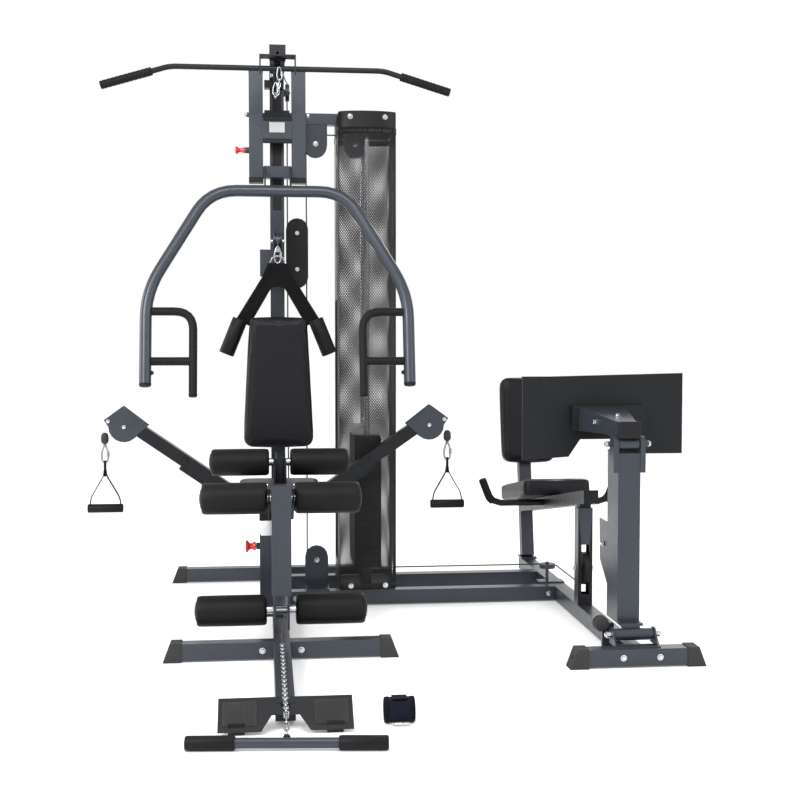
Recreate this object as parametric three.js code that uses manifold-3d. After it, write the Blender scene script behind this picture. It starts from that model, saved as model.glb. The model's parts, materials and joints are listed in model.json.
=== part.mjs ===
// Multi station home gym: a main station with a boom, press arm, seat and leg developer,
// a weight tower beside it, and a leg press station joined on by two floor beams.
// Millimetres, +Z up, -Y towards the user. While modelling, X = 0 and Y = 0 are the main column's
// axes; at the end the whole group is moved so that the origin is the middle of the footprint.
import * as THREE from "three";
import { mergeVertices } from "three/addons/utils/BufferGeometryUtils.js";
import Module from "manifold-3d";

const wasm = await Module();
wasm.setup();

// ---------- driving dimensions ----------
const TUBE = 50;                 // square frame tube
const HALF = TUBE / 2;
const WALL = 2.5;
const GAP = 0.3;                 // left between parts that touch
const LOW = 5;                   // underside of the frame tubes, held up by the foot caps
const BEAM_TOP = LOW + TUBE;
const CABLE_Y = 62;              // plane that holds the pulleys, the cable and the weight stack
const CABLE_R = 2.5;
const PULLEY_R = 34;             // radius of the cable's centre line on a pulley

const FRONT_Y = -811;            // front face of the front cross tube
const REAR_Y = 434;
const LINK_FRONT_Y = -63;        // front face of the front floor beam
const LINK_REAR_Y = 238;
const COLUMN_TOP = 1885;
const BOOM_FRONT = -300;

const TOWER_X = 319;
const TOWER_HALF_X = 103;
const TOWER_HALF_Y = 150;
const TOWER_TOP = 1766;
const TOWER_BOW = 30;            // how far its front and rear bulge past the straight sides
const SHROUD_LOW = BEAM_TOP + 8;
const CAP_DEPTH = 58;
const ROD_OFFSET = 95;           // guide rods, in front of and behind the stack's middle
const ROD_R = 9.5;
const PLATE_T = 30;
const PLATE_COUNT = 15;
const SELECTED_COUNT = 5;
const STACK_LOW = 140;

const WHEEL_X = 140;             // the wheels beside the column, below and above
const BASE_WHEEL_Z = 150;
const HIGH_WHEEL_Z = 1667;
const BOOM_WHEEL_Z = 1844;
const BRACKET_HALF = 42;         // half width of the brackets that hold them

const BLOCK_X = 72;              // travelling pulley block
const BLOCK_HIGH = 1345;         // its upper and lower wheels
const BLOCK_LOW = 1214;

const PRESS_TILT = 0.21;         // how far the press arm comes forward for each mm down
const PRESS_R = 20;
const PRESS_X = 440;             // its two uprights
const PRESS_TOP = 1466;
const PIVOT_Z = 1748;            // press carriage pivot
const PIVOT_Y = -59;

const AXLE_R = 12.5;             // steel axles of the foam rollers
const AXLE_BORE = 13.2;
const KNEE_Y = -745;
const KNEE_Z = 479;
const THIGH_Y = -428;
const THIGH_Z = 558;
const ANKLE_Y = -722;
const ANKLE_Z = 134;
const SEAT_POST_X = -41;
const SEAT_POST_Y = -420;

const LP_X = 1033;               // middle plane of the leg press
const LP_TILT = THREE.MathUtils.degToRad(9);
const LP_PIVOT_Y = -938;
const LP_PIVOT_Z = 82;
const LP_HINGE_Y = -880;
const LP_HINGE_Z = 645;

// ---------- materials ----------
const finish = (color, roughness, metalness) =>
  new THREE.MeshStandardMaterial({ color, roughness, metalness });
const FRAME = () => finish(0x3f454c, 0.42, 0.35);
const BLACK = () => finish(0x17181a, 0.5, 0.1);
const VINYL = () => finish(0x211f23, 0.55, 0);
const FOAM = () => finish(0x19191b, 0.85, 0);
const CHROME = () => finish(0xc8cacc, 0.15, 1);
const PLATE = () => finish(0x2a2a2d, 0.6, 0.3);
const RED = () => finish(0xc81e22, 0.35, 0);
const MESH = () => finish(0x8f9092, 0.35, 0.6);
const WEBBING = () => finish(0x1b1c22, 0.9, 0);

// ---------- solids ----------
function solid(geometry, matrix) {
  const plain = geometry.index ? geometry.clone() : geometry;
  for (const name of ["normal", "uv"]) plain.deleteAttribute(name);
  const merged = mergeVertices(plain, 1e-4);
  if (matrix) merged.applyMatrix4(matrix);
  return new wasm.Manifold(new wasm.Mesh({
    numProp: 3,
    vertProperties: new Float32Array(merged.attributes.position.array),
    triVerts: new Uint32Array(merged.index.array),
  }));
}

const join = (...solids) => solids.flat().reduce((whole, piece) => whole.add(piece));
const cut = (whole, ...tools) => tools.flat().reduce((left, tool) => left.subtract(tool), whole);

function box(x, y, z) {
  const middle = new THREE.Matrix4().makeTranslation(
    (x[0] + x[1]) / 2, (y[0] + y[1]) / 2, (z[0] + z[1]) / 2);
  return solid(new THREE.BoxGeometry(x[1] - x[0], y[1] - y[0], z[1] - z[0]), middle);
}

// a cylinder between two points
function rod(from, to, radius, sides = 12) {
  const a = new THREE.Vector3(...from);
  const b = new THREE.Vector3(...to);
  const along = b.clone().sub(a);
  const turn = new THREE.Quaternion().setFromUnitVectors(
    new THREE.Vector3(0, 1, 0), along.clone().normalize());
  const matrix = new THREE.Matrix4().compose(
    a.clone().lerp(b, 0.5), turn, new THREE.Vector3(1, 1, 1));
  return solid(new THREE.CylinderGeometry(radius, radius, along.length(), sides), matrix);
}

// a square tube along X, Y or Z with open ends; ranges are its outer faces
function squareTube(axis, x, y, z, wall = WALL) {
  const inner = {
    x: [x[0] + wall, x[1] - wall], y: [y[0] + wall, y[1] - wall], z: [z[0] + wall, z[1] - wall] };
  const span = { x, y, z }[axis];
  inner[axis] = [span[0] - 1, span[1] + 1];
  return cut(box(x, y, z), box(inner.x, inner.y, inner.z));
}

// an outline in the plane across an axis, given thickness along that axis
function plate(axis, from, to, points) {
  const shape = new THREE.Shape(points.map(([a, b]) => new THREE.Vector2(a, b)));
  const geometry = new THREE.ExtrudeGeometry(shape, { depth: to - from, bevelEnabled: false });
  const place = {
    x: new THREE.Matrix4().makeBasis(
      new THREE.Vector3(0, 1, 0), new THREE.Vector3(0, 0, 1), new THREE.Vector3(1, 0, 0)),
    y: new THREE.Matrix4().makeBasis(
      new THREE.Vector3(1, 0, 0), new THREE.Vector3(0, 0, 1), new THREE.Vector3(0, -1, 0)),
    z: new THREE.Matrix4(),
  }[axis];
  const start = { x: [from, 0, 0], y: [0, to, 0], z: [0, 0, from] }[axis];
  return solid(geometry, new THREE.Matrix4().makeTranslation(...start).multiply(place));
}

// points of an arc, degrees measured from the first axis towards the second
function arc(a, b, radius, from, to, steps = 8) {
  return Array.from({ length: steps + 1 }, (_, i) => {
    const angle = THREE.MathUtils.degToRad(from + (to - from) * i / steps);
    return [a + radius * Math.cos(angle), b + radius * Math.sin(angle)];
  });
}

// the points of a path of straight stretches with rounded corners
function roundedPath(points, radius) {
  const at = points.map((p) => new THREE.Vector3(...p));
  const path = [at[0]];
  for (let i = 1; i < at.length - 1; i++) {
    const room = Math.min(radius, at[i].distanceTo(at[i - 1]) / 2.1, at[i].distanceTo(at[i + 1]) / 2.1);
    const before = at[i].clone().add(at[i - 1].clone().sub(at[i]).setLength(room));
    const after = at[i].clone().add(at[i + 1].clone().sub(at[i]).setLength(room));
    path.push(...new THREE.QuadraticBezierCurve3(before, at[i], after).getPoints(room > 20 ? 4 : 1));
  }
  path.push(at[at.length - 1]);
  return path;
}

// a bent round tube or cable: rings of points carried along the path, with flat ends
function bent(points, radius, corner, sides = 8) {
  const path = roundedPath(points, corner);
  const heading = path.map((p, i) => path[Math.min(i + 1, path.length - 1)].clone()
    .sub(path[Math.max(i - 1, 0)]).normalize());
  const normal = new THREE.Vector3(0, 0, 1);
  if (Math.abs(heading[0].z) > 0.9) normal.set(1, 0, 0);
  const positions = [];
  const faces = [];
  path.forEach((p, i) => {
    normal.addScaledVector(heading[i], -normal.dot(heading[i])).normalize();
    const side = heading[i].clone().cross(normal);
    for (let k = 0; k < sides; k++) {
      const angle = 2 * Math.PI * k / sides;
      positions.push(...p.clone().addScaledVector(normal, radius * Math.cos(angle))
        .addScaledVector(side, radius * Math.sin(angle)).toArray());
    }
  });
  const first = path.length * sides;
  positions.push(...path[0].toArray(), ...path[path.length - 1].toArray());
  for (let k = 0; k < sides; k++) {
    const next = (k + 1) % sides;
    faces.push(first, next, k, first + 1, first - sides + k, first - sides + next);
    for (let i = 0; i < path.length - 1; i++) {
      const a = i * sides;
      faces.push(a + k, a + next, a + sides + k, a + next, a + sides + next, a + sides + k);
    }
  }
  const geometry = new THREE.BufferGeometry();
  geometry.setAttribute("position", new THREE.Float32BufferAttribute(positions, 3));
  geometry.setIndex(faces);
  return solid(geometry);
}

// a pulley with a square groove, its axis along X or Y, bored for its axle
function pulley(axis, centre, radius = PULLEY_R, half = 8) {
  const groove = half - 3.8;
  const profile = [
    [5.5, -half], [radius + 4, -half], [radius + 4, -groove], [radius - 3, -groove],
    [radius - 3, groove], [radius + 4, groove], [radius + 4, half], [5.5, half], [5.5, -half],
  ].map(([r, h]) => new THREE.Vector2(r, h));
  const turn = axis === "x"
    ? new THREE.Matrix4().makeRotationZ(-Math.PI / 2)
    : new THREE.Matrix4();
  return solid(new THREE.LatheGeometry(profile, 14),
    new THREE.Matrix4().makeTranslation(...centre).multiply(turn));
}

const group = new THREE.Group();
group.name = "multi_station_home_gym";

function add(name, whole, material) {
  const mesh = whole.getMesh();
  const geometry = new THREE.BufferGeometry();
  const positions = new Float32Array(mesh.numVert * 3);
  for (let i = 0; i < mesh.numVert; i++) {
    for (let k = 0; k < 3; k++) positions[3 * i + k] = mesh.vertProperties[i * mesh.numProp + k];
  }
  geometry.setAttribute("position", new THREE.BufferAttribute(positions, 3));
  geometry.setIndex(new THREE.BufferAttribute(new Uint32Array(mesh.triVerts), 1));
  geometry.computeVertexNormals();
  const node = new THREE.Mesh(geometry, material);
  node.name = name;
  group.add(node);
}

const mirror = (whole) => whole.mirror([1, 0, 0]);
const turned = (whole, angle, about) => whole
  .translate([0, -about[0], -about[1]])
  .rotate([THREE.MathUtils.radToDeg(angle), 0, 0])
  .translate([0, about[0], about[1]]);

// ---------- floor frame ----------
const DRAIN_R = 6;               // hole through each foot cap

// a foot cap on the end of a cross tube, wider at the floor; side is -1 or 1
function footCap(x, side, y) {
  const outline = [[x, 0], [x + side * 56, 0], [x + side * 34, BEAM_TOP + 3], [x, BEAM_TOP + 3]];
  return plate("y", y - 4, y + TUBE + 4, outline);
}

function crossTube(left, right, y) {
  const tube = box([left, right], [y, y + TUBE], [LOW, BEAM_TOP]);
  const hollow = box([left + 4, right - 4], [y + WALL, y + TUBE - WALL], [LOW + WALL, BEAM_TOP - WALL]);
  const drain = rod([left - 60, y + HALF, LOW + HALF], [right + 60, y + HALF, LOW + HALF], DRAIN_R, 10);
  return cut(join(tube, footCap(left + 4, -1, y), footCap(right - 4, 1, y)), hollow, drain);
}

function addFloorFrame() {
  add("front_cross_tube", crossTube(-300, 300, FRONT_Y), FRAME());
  add("rear_cross_tube", crossTube(-362, 300, REAR_Y), FRAME());
  const acrossBeam = [-HALF, HALF];
  add("main_base_beam", squareTube("y", acrossBeam,
    [FRONT_Y + TUBE + GAP, REAR_Y - GAP], [LOW, BEAM_TOP]), FRAME());
  add("foot_plate_beam", squareTube("y", acrossBeam, [-1432, FRONT_Y - GAP], [LOW, BEAM_TOP]), FRAME());

  const linkX = [HALF + GAP, LP_X - HALF - GAP];
  const wheel = [WHEEL_X, CABLE_Y, BASE_WHEEL_Z];
  const cheekX = [WHEEL_X - BRACKET_HALF, WHEEL_X + BRACKET_HALF];
  const bracketFoot = box(cheekX, [LINK_FRONT_Y + 4, CABLE_Y + 16], [BEAM_TOP - 1, BEAM_TOP + 6]);
  const cheek = [[cheekX[0], BEAM_TOP + 3], [cheekX[1], BEAM_TOP + 3],
    ...arc(WHEEL_X, BASE_WHEEL_Z + 8, BRACKET_HALF, 0, 180)];
  const cheeks = [-16, 12].map((y) => plate("y", CABLE_Y + y, CABLE_Y + y + 4, cheek));
  const axle = rod([WHEEL_X, CABLE_Y - 20, BASE_WHEEL_Z], [WHEEL_X, CABLE_Y + 20, BASE_WHEEL_Z], 5, 12);
  const frontBeam = squareTube("x", linkX, [LINK_FRONT_Y, LINK_FRONT_Y + TUBE], [LOW, BEAM_TOP]);
  add("front_link_beam", join(frontBeam, bracketFoot, cheeks, axle), FRAME());
  add("rear_link_beam",
    squareTube("x", linkX, [LINK_REAR_Y, LINK_REAR_Y + TUBE], [LOW, BEAM_TOP]), FRAME());
  add("base_pulley", pulley("y", wheel), BLACK());
}

// tread plate for the feet in a seated row, held up at the front end of its beam
function addFootPlate() {
  const rearZ = 70;
  const slope = THREE.MathUtils.degToRad(40);
  const depth = 96;
  const half = 165;
  const outline = [
    [-half, 0], [-60, 0], [-34, 46], [34, 46], [60, 0], [half, 0], [half, depth], [-half, depth]];
  const sheet = plate("z", 0, 5, outline);
  const lip = box([-half, half], [depth - 5, depth], [-18, 1]);
  const lean = new THREE.Matrix4()
    .makeTranslation(0, -1450 - depth * Math.cos(slope), rearZ - depth * Math.sin(slope))
    .multiply(new THREE.Matrix4().makeRotationX(slope));
  const tread = join(sheet, lip).transform(lean.elements);
  const feet = [-1, 1].map((side) => box(
    [side * 120 - 20, side * 120 + 20], [-1519, -1487], [0, 28]));
  const hanger = box([-HALF, HALF], [-1470, -1432 - GAP], [18, 62]);
  const chainSlot = box([-11, 11], [-1560, -1400], [55, 100]);   // the row bar's chain runs through it
  add("floor_foot_plate", cut(join(tread, feet, hanger), chainSlot), FRAME());
}

// ---------- main column, boom and cross beam ----------
function addColumn() {
  const tube = squareTube("z", [-HALF, HALF], [-HALF, HALF], [BEAM_TOP + GAP, COLUMN_TOP - GAP]);
  const front = -HALF + 0.5;
  const upperHanger = box([-44, 20], [-62, front], [1843, 1870]);
  const pivotHanger = box([-44, 44], [PIVOT_Y - 14, front], [PIVOT_Z - 15, PIVOT_Z + 15]);
  const shaft = rod([-106, PIVOT_Y, PIVOT_Z], [106, PIVOT_Y, PIVOT_Z], 8);
  const crunchCheeks = [-14, 10].map((x) => plate("x", x, x + 4,
    [[front, 1268], [front, 1342], ...arc(-78, 1305, 36, 90, 270)]));
  const crunchWheel = join(
    rod([-8, -78, 1305], [8, -78, 1305], 30, 14), rod([-16, -78, 1305], [16, -78, 1305], 6, 10));
  const sidePlate = box([-62, front], [-20, 20], [1185, 1280]);
  const cornerWheel = join(
    rod([31, CABLE_Y - PULLEY_R, BOOM_WHEEL_Z], [45, CABLE_Y - PULLEY_R, BOOM_WHEEL_Z], 31, 14),
    rod([front + 45, CABLE_Y - PULLEY_R, BOOM_WHEEL_Z], [48, CABLE_Y - PULLEY_R, BOOM_WHEEL_Z], 5, 10),
    box([20, 30.5], [HALF - 0.5, CABLE_Y - PULLEY_R + 12], [1832, 1856]));
  const backArms = [700, 920].map((z) => box([-20, 20], [-136, front], [z - 20, z + 20]));
  const backPlate = box([-70, 70], [-141, -135], [650, 970]);
  add("main_column", join(tube, upperHanger, pivotHanger, shaft, crunchCheeks, crunchWheel,
    sidePlate, cornerWheel, backArms, backPlate), FRAME());
}

function addBoom() {
  const z = [COLUMN_TOP, COLUMN_TOP + TUBE];
  const tube = squareTube("y", [-HALF, HALF], [BOOM_FRONT, HALF + 3], z);
  const endCap = cut(box([-27, 27], [BOOM_FRONT - 4, BOOM_FRONT], [z[0] - 2, z[1] + 2]),
    rod([0, BOOM_FRONT - 6, z[0] + HALF], [0, BOOM_FRONT + 2, z[0] + HALF], 5, 10));
  const centre = [BOOM_FRONT + 38, BOOM_WHEEL_Z];
  const cheeks = [-14, 10.5].map((x) => plate("x", x, x + 3.5,
    [[centre[0] + 32, z[0] + 1], [centre[0] - 32, z[0] + 1], ...arc(centre[0], centre[1], 20, 180, 360)]));
  const axle = rod([-16, ...centre], [16, ...centre], 5, 12);
  const hookStrip = box([-60, 60], [BOOM_FRONT - 54, BOOM_FRONT - 3], [z[0] + 4, z[0] + 9]);
  const hooks = [-60, 55].map((x) => box([x, x + 5], [BOOM_FRONT - 54, BOOM_FRONT - 47], [1829, z[0] + 8]));
  add("top_boom", join(tube, endCap, cheeks, axle, hookStrip, hooks), FRAME());
  add("lat_pulley", pulley("x", [0, ...centre]), BLACK());
}

function addCrossBeam() {
  const z = [1736, 1776];
  const y = [CABLE_Y - 20, CABLE_Y + 20];
  const tube = squareTube("x", [-HALF, TOWER_X - 10], y, z);
  const spacer = box([-HALF, HALF], [HALF + GAP, y[0] + 1], z);
  const brackets = [WHEEL_X, TOWER_X - PULLEY_R].map((x) => join(
    [-17, 13].map((offset) => plate("y", CABLE_Y + offset, CABLE_Y + offset + 4,
      [[x + BRACKET_HALF, z[0] + 1], [x - BRACKET_HALF, z[0] + 1],
        ...arc(x, HIGH_WHEEL_Z - 5, BRACKET_HALF, 180, 360)])),
    rod([x, CABLE_Y - 21, HIGH_WHEEL_Z], [x, CABLE_Y + 21, HIGH_WHEEL_Z], 5, 12)));
  const holeX = BLOCK_X - PULLEY_R;
  const cableHole = rod([holeX, CABLE_Y, z[0] - 5], [holeX, CABLE_Y, z[1] + 5], 7, 12);
  add("top_cross_beam", cut(join(tube, spacer, brackets), cableHole), FRAME());
  add("tower_pulley_left", pulley("y", [WHEEL_X, CABLE_Y, HIGH_WHEEL_Z]), BLACK());
  add("tower_pulley_right", pulley("y", [TOWER_X - PULLEY_R, CABLE_Y, HIGH_WHEEL_Z]), BLACK());
}

// ---------- weight tower ----------
// half of the tower's outline: straight sides and a bowed end; side is -1 (front) or 1 (rear)
function towerHalf(side, inset, seam = GAP) {
  const halfX = TOWER_HALF_X - inset;
  const bow = TOWER_BOW - inset;
  const straight = CABLE_Y + side * (TOWER_HALF_Y - TOWER_BOW);
  return [
    [TOWER_X + halfX, CABLE_Y + side * seam],
    ...arc(0, 0, 1, 0, 180, 14).map(([a, b]) => [TOWER_X + halfX * a, straight + side * bow * b]),
    [TOWER_X - halfX, CABLE_Y + side * seam],
  ];
}

function addTower() {
  const shell = 2;
  const leftWall = [TOWER_X - 150, TOWER_X - 60];
  const cableSlot = [CABLE_Y - 12, CABLE_Y + 12];
  const pinWindow = [CABLE_Y - 34, CABLE_Y + 34];
  const openings = join(
    box([TOWER_X - 150, TOWER_X + 150], cableSlot, [0, 132]),
    box(leftWall, cableSlot, [1690, TOWER_TOP]),
    box(leftWall, pinWindow, [160, 1100]));
  for (const [name, side] of [["shroud_front", -1], ["shroud_rear", 1]]) {
    const outer = plate("z", SHROUD_LOW, TOWER_TOP - CAP_DEPTH, towerHalf(side, 0));
    const inner = plate("z", BEAM_TOP, TOWER_TOP, towerHalf(side, shell, -shell));
    add(name, cut(outer, inner, openings), MESH());
  }
  const round = (inset, low, high) => join(
    plate("z", low, high, towerHalf(-1, inset, -1)), plate("z", low, high, towerHalf(1, inset, -1)));
  // the cross beam lies in a slot through the cap, open at the top
  const beamSlot = box([TOWER_X - 160, TOWER_X - 9], [CABLE_Y - 20.5, CABLE_Y + 20.5], [1700, 1777]);
  const cap = cut(round(0, TOWER_TOP - CAP_DEPTH + GAP, TOWER_TOP),
    round(3, TOWER_TOP - CAP_DEPTH - 2, TOWER_TOP - 6), beamSlot);
  add("tower_top_cap", cap, BLACK());

  const rods = [-ROD_OFFSET, ROD_OFFSET].map((y) => [TOWER_X, CABLE_Y + y]);
  const foot = round(4, BEAM_TOP + GAP, BEAM_TOP + 7);
  const rear = box([TOWER_X - 60, TOWER_X + 60], [CABLE_Y + 100, LINK_REAR_Y + 40],
    [BEAM_TOP + GAP, BEAM_TOP + 7]);
  const sockets = rods.map(([x, y]) => rod([x, y, BEAM_TOP + 6], [x, y, STACK_LOW - 3], 17, 12));
  const bores = rods.map(([x, y]) => rod([x, y, 64], [x, y, 200], ROD_R + GAP, 12));
  add("tower_base", cut(join(foot, rear, sockets), bores), FRAME());
  rods.forEach(([x, y], i) => add(i ? "guide_rod_rear" : "guide_rod_front",
    rod([x, y, 65], [x, y, TOWER_TOP - 9], ROD_R, 12), CHROME()));
  addWeightStack(rods);
}

function addWeightStack(rods) {
  const across = [TOWER_X - 48, TOWER_X + 48];
  const along = [CABLE_Y - 135, CABLE_Y + 135];
  const pitch = PLATE_T + 1.5;
  const runs = rods.map(([x, y]) => rod([x, y, 0], [x, y, 900], ROD_R + 1.2, 12));
  const stem = rod([TOWER_X, CABLE_Y, 0], [TOWER_X, CABLE_Y, 900], 13, 12);
  const pinZ = STACK_LOW + (PLATE_COUNT - SELECTED_COUNT) * pitch + PLATE_T / 2;
  const pinRun = rod([across[0] - 5, CABLE_Y, pinZ], [TOWER_X - 10, CABLE_Y, pinZ], 5.5, 10);
  const stack = (first, last) => {
    const plates = [];
    for (let i = first; i < last; i++) {
      const z = STACK_LOW + i * pitch;
      plates.push(box(across, along, [z, z + PLATE_T]));
    }
    const low = STACK_LOW + first * pitch;
    plates.push(box([across[0] + 4, across[1] - 4], [along[0] + 4, along[1] - 4],
      [low, STACK_LOW + (last - 1) * pitch + PLATE_T]));
    return cut(join(plates), runs, stem);
  };
  const split = PLATE_COUNT - SELECTED_COUNT;
  add("weight_plates_resting", stack(0, split), PLATE());
  add("weight_plates_selected", cut(stack(split, PLATE_COUNT), pinRun), PLATE());
  const top = STACK_LOW + PLATE_COUNT * pitch;
  const head = cut(box(across, along, [top, top + 34]), runs);
  const selector = rod([TOWER_X, CABLE_Y, STACK_LOW + 10], [TOWER_X, CABLE_Y, top + 5], 12, 12);
  const eye = rod([TOWER_X, CABLE_Y, top + 30], [TOWER_X, CABLE_Y, top + 62], 9, 12);
  const pinHole = rod([TOWER_X - 20, CABLE_Y, pinZ], [TOWER_X + 4, CABLE_Y, pinZ], 5.5, 10);
  add("selector_rod", cut(join(head, selector, eye), pinHole), CHROME());
  add("selector_pin", join(
    rod([across[0] - 24, CABLE_Y, pinZ], [TOWER_X + 2, CABLE_Y, pinZ], 4.8, 10),
    rod([across[0] - 28, CABLE_Y, pinZ], [across[0] - 8, CABLE_Y, pinZ], 11, 12)), RED());
  const cableLow = [TOWER_X, CABLE_Y, top + 62 + GAP];
  add("stack_cable", rod(cableLow, [TOWER_X, CABLE_Y, HIGH_WHEEL_Z], CABLE_R, 8), BLACK());
}

// ---------- travelling pulley block and the other cables ----------
function addPulleyBlock() {
  const outline = [
    [BLOCK_X - 40, BLOCK_HIGH + 12], [BLOCK_X - 40, BLOCK_LOW - 8],
    ...arc(BLOCK_X, BLOCK_LOW - 28, 40, 180, 360), [BLOCK_X + 40, BLOCK_HIGH + 12],
    ...arc(BLOCK_X, BLOCK_HIGH + 14, 40, 0, 180)];
  const cheeks = [-15, 11].map((y) => plate("y", CABLE_Y + y, CABLE_Y + y + 4, outline));
  const wheels = [BLOCK_HIGH, BLOCK_LOW].map((z) => join(
    pulley("y", [BLOCK_X, CABLE_Y, z]), rod([BLOCK_X, CABLE_Y - 19, z], [BLOCK_X, CABLE_Y + 19, z], 6, 12)));
  add("pulley_block", join(cheeks, wheels), BLACK());
}

function addCables() {
  const left = BLOCK_X - PULLEY_R;
  const turn = 0.55 * PULLEY_R + 4;
  const wheelPoints = (x, z, from, to) => arc(x, z, PULLEY_R + 0.7, from, to, 8)
    .map(([a, b]) => [a, CABLE_Y, b]);
  add("upper_cable", bent([
    [0, BOOM_FRONT + 3.3, 1800],
    ...arc(BOOM_FRONT + 38, BOOM_WHEEL_Z, PULLEY_R + 1.3, 180, 90, 5).map(([y, z]) => [0, y, z]),
    ...arc(CABLE_Y - PULLEY_R, BOOM_WHEEL_Z, PULLEY_R + 0.7, 90, 0, 6).map(([y, z]) => [left, y, z]),
    ...wheelPoints(BLOCK_X, BLOCK_HIGH, 180, 360),
    ...wheelPoints(WHEEL_X, HIGH_WHEEL_Z, 180, 90),
    ...wheelPoints(TOWER_X - PULLEY_R, HIGH_WHEEL_Z, 90, 8),
  ], CABLE_R, turn, 5), BLACK());
  add("lower_cable", bent([
    [0, FRONT_Y + 30, 66], [6, FRONT_Y + 120, 70], [left, -40, 90],
    [left, CABLE_Y - 14, 96], [left, CABLE_Y, 124],
    ...wheelPoints(BLOCK_X, BLOCK_LOW, 180, 0),
    ...wheelPoints(WHEEL_X, BASE_WHEEL_Z, 180, 270),
    ...arc(LP_X - PULLEY_R, CABLE_Y - PULLEY_R, PULLEY_R + 0.7, 90, 0, 6).map(([x, y]) => [x, y, 115.3]),
    [LP_X + 0.7, -300, 115.3],
  ], CABLE_R, turn, 5), BLACK());
}

// ---------- press arm ----------
function addPressArm() {
  const legY = [-84, -34];
  const lowZ = 1515;
  const bores = rod([-120, PIVOT_Y, PIVOT_Z], [120, PIVOT_Y, PIVOT_Z], 8.6, 12);
  const legs = [[-98, -49], [51, 100]].map((x) => squareTube("z", x, legY, [lowZ, 1897]));
  const facePlate = box([-50, 52], [-88, -83.5], [1662, 1732]);
  const lowerTube = cut(box([-50, 52], [-79, -39], [1526, 1566]), box([-46, 48], [-76, -30], [1529, 1563]));
  const pinBarrel = rod([-97, PIVOT_Y, 1624], [-112, PIVOT_Y, 1624], 11, 12);
  const pinBore = rod([-130, PIVOT_Y, 1624], [-60, PIVOT_Y, 1624], 5.4, 12);
  add("press_carriage", cut(join(legs, facePlate, lowerTube, pinBarrel), bores, pinBore), FRAME());
  add("press_pin", join(
    rod([-88, PIVOT_Y, 1624], [-128, PIVOT_Y, 1624], 4.8, 12),
    rod([-124, PIVOT_Y, 1624], [-148, PIVOT_Y, 1624], 14, 12)), RED());

  const at = (x, z) => [x, -196 - (PRESS_TOP - z) * PRESS_TILT, z];
  const tube = bent([at(-PRESS_X, 812), at(-PRESS_X, 1117), at(-229, PRESS_TOP),
    at(229, PRESS_TOP), at(PRESS_X, 1117), at(PRESS_X, 812)], PRESS_R, 80, 10);
  const neckOutline = [[-190, PRESS_TOP - 7], [-200, PRESS_TOP + 12], [-88, 1564], [-80, 1530]];
  const neck = [[-46, -40], [42, 48]].map((x) => plate("x", ...x, neckOutline));
  const clamp = box([-47, 49], [-89, -79.5], [1527, 1567]);
  add("press_arm", join(tube, neck, clamp), FRAME());

  const start = -PRESS_X + PRESS_R + 3;
  const inner = -284;
  const grip = 14;
  const loop = join(
    bent([at(start, 1052), at(inner - 20, 1052), at(inner, 1030), at(inner, 771)], grip, 45, 10),
    rod(at(start, 886), at(inner, 886), grip, 12));
  add("press_handle_left", loop, FOAM());
  add("press_handle_right", mirror(loop), FOAM());
}

// ---------- seat, rollers and leg developer ----------
// a pair of foam rollers on one steel axle
function rollerPair(y, z, radius, innerX, outerX) {
  const rolls = [-1, 1].map((side) => rod([side * innerX, y, z], [side * outerX, y, z], radius, 12));
  return join(rolls, rod([-outerX - 6, y, z], [outerX + 6, y, z], AXLE_R, 12));
}

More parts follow.
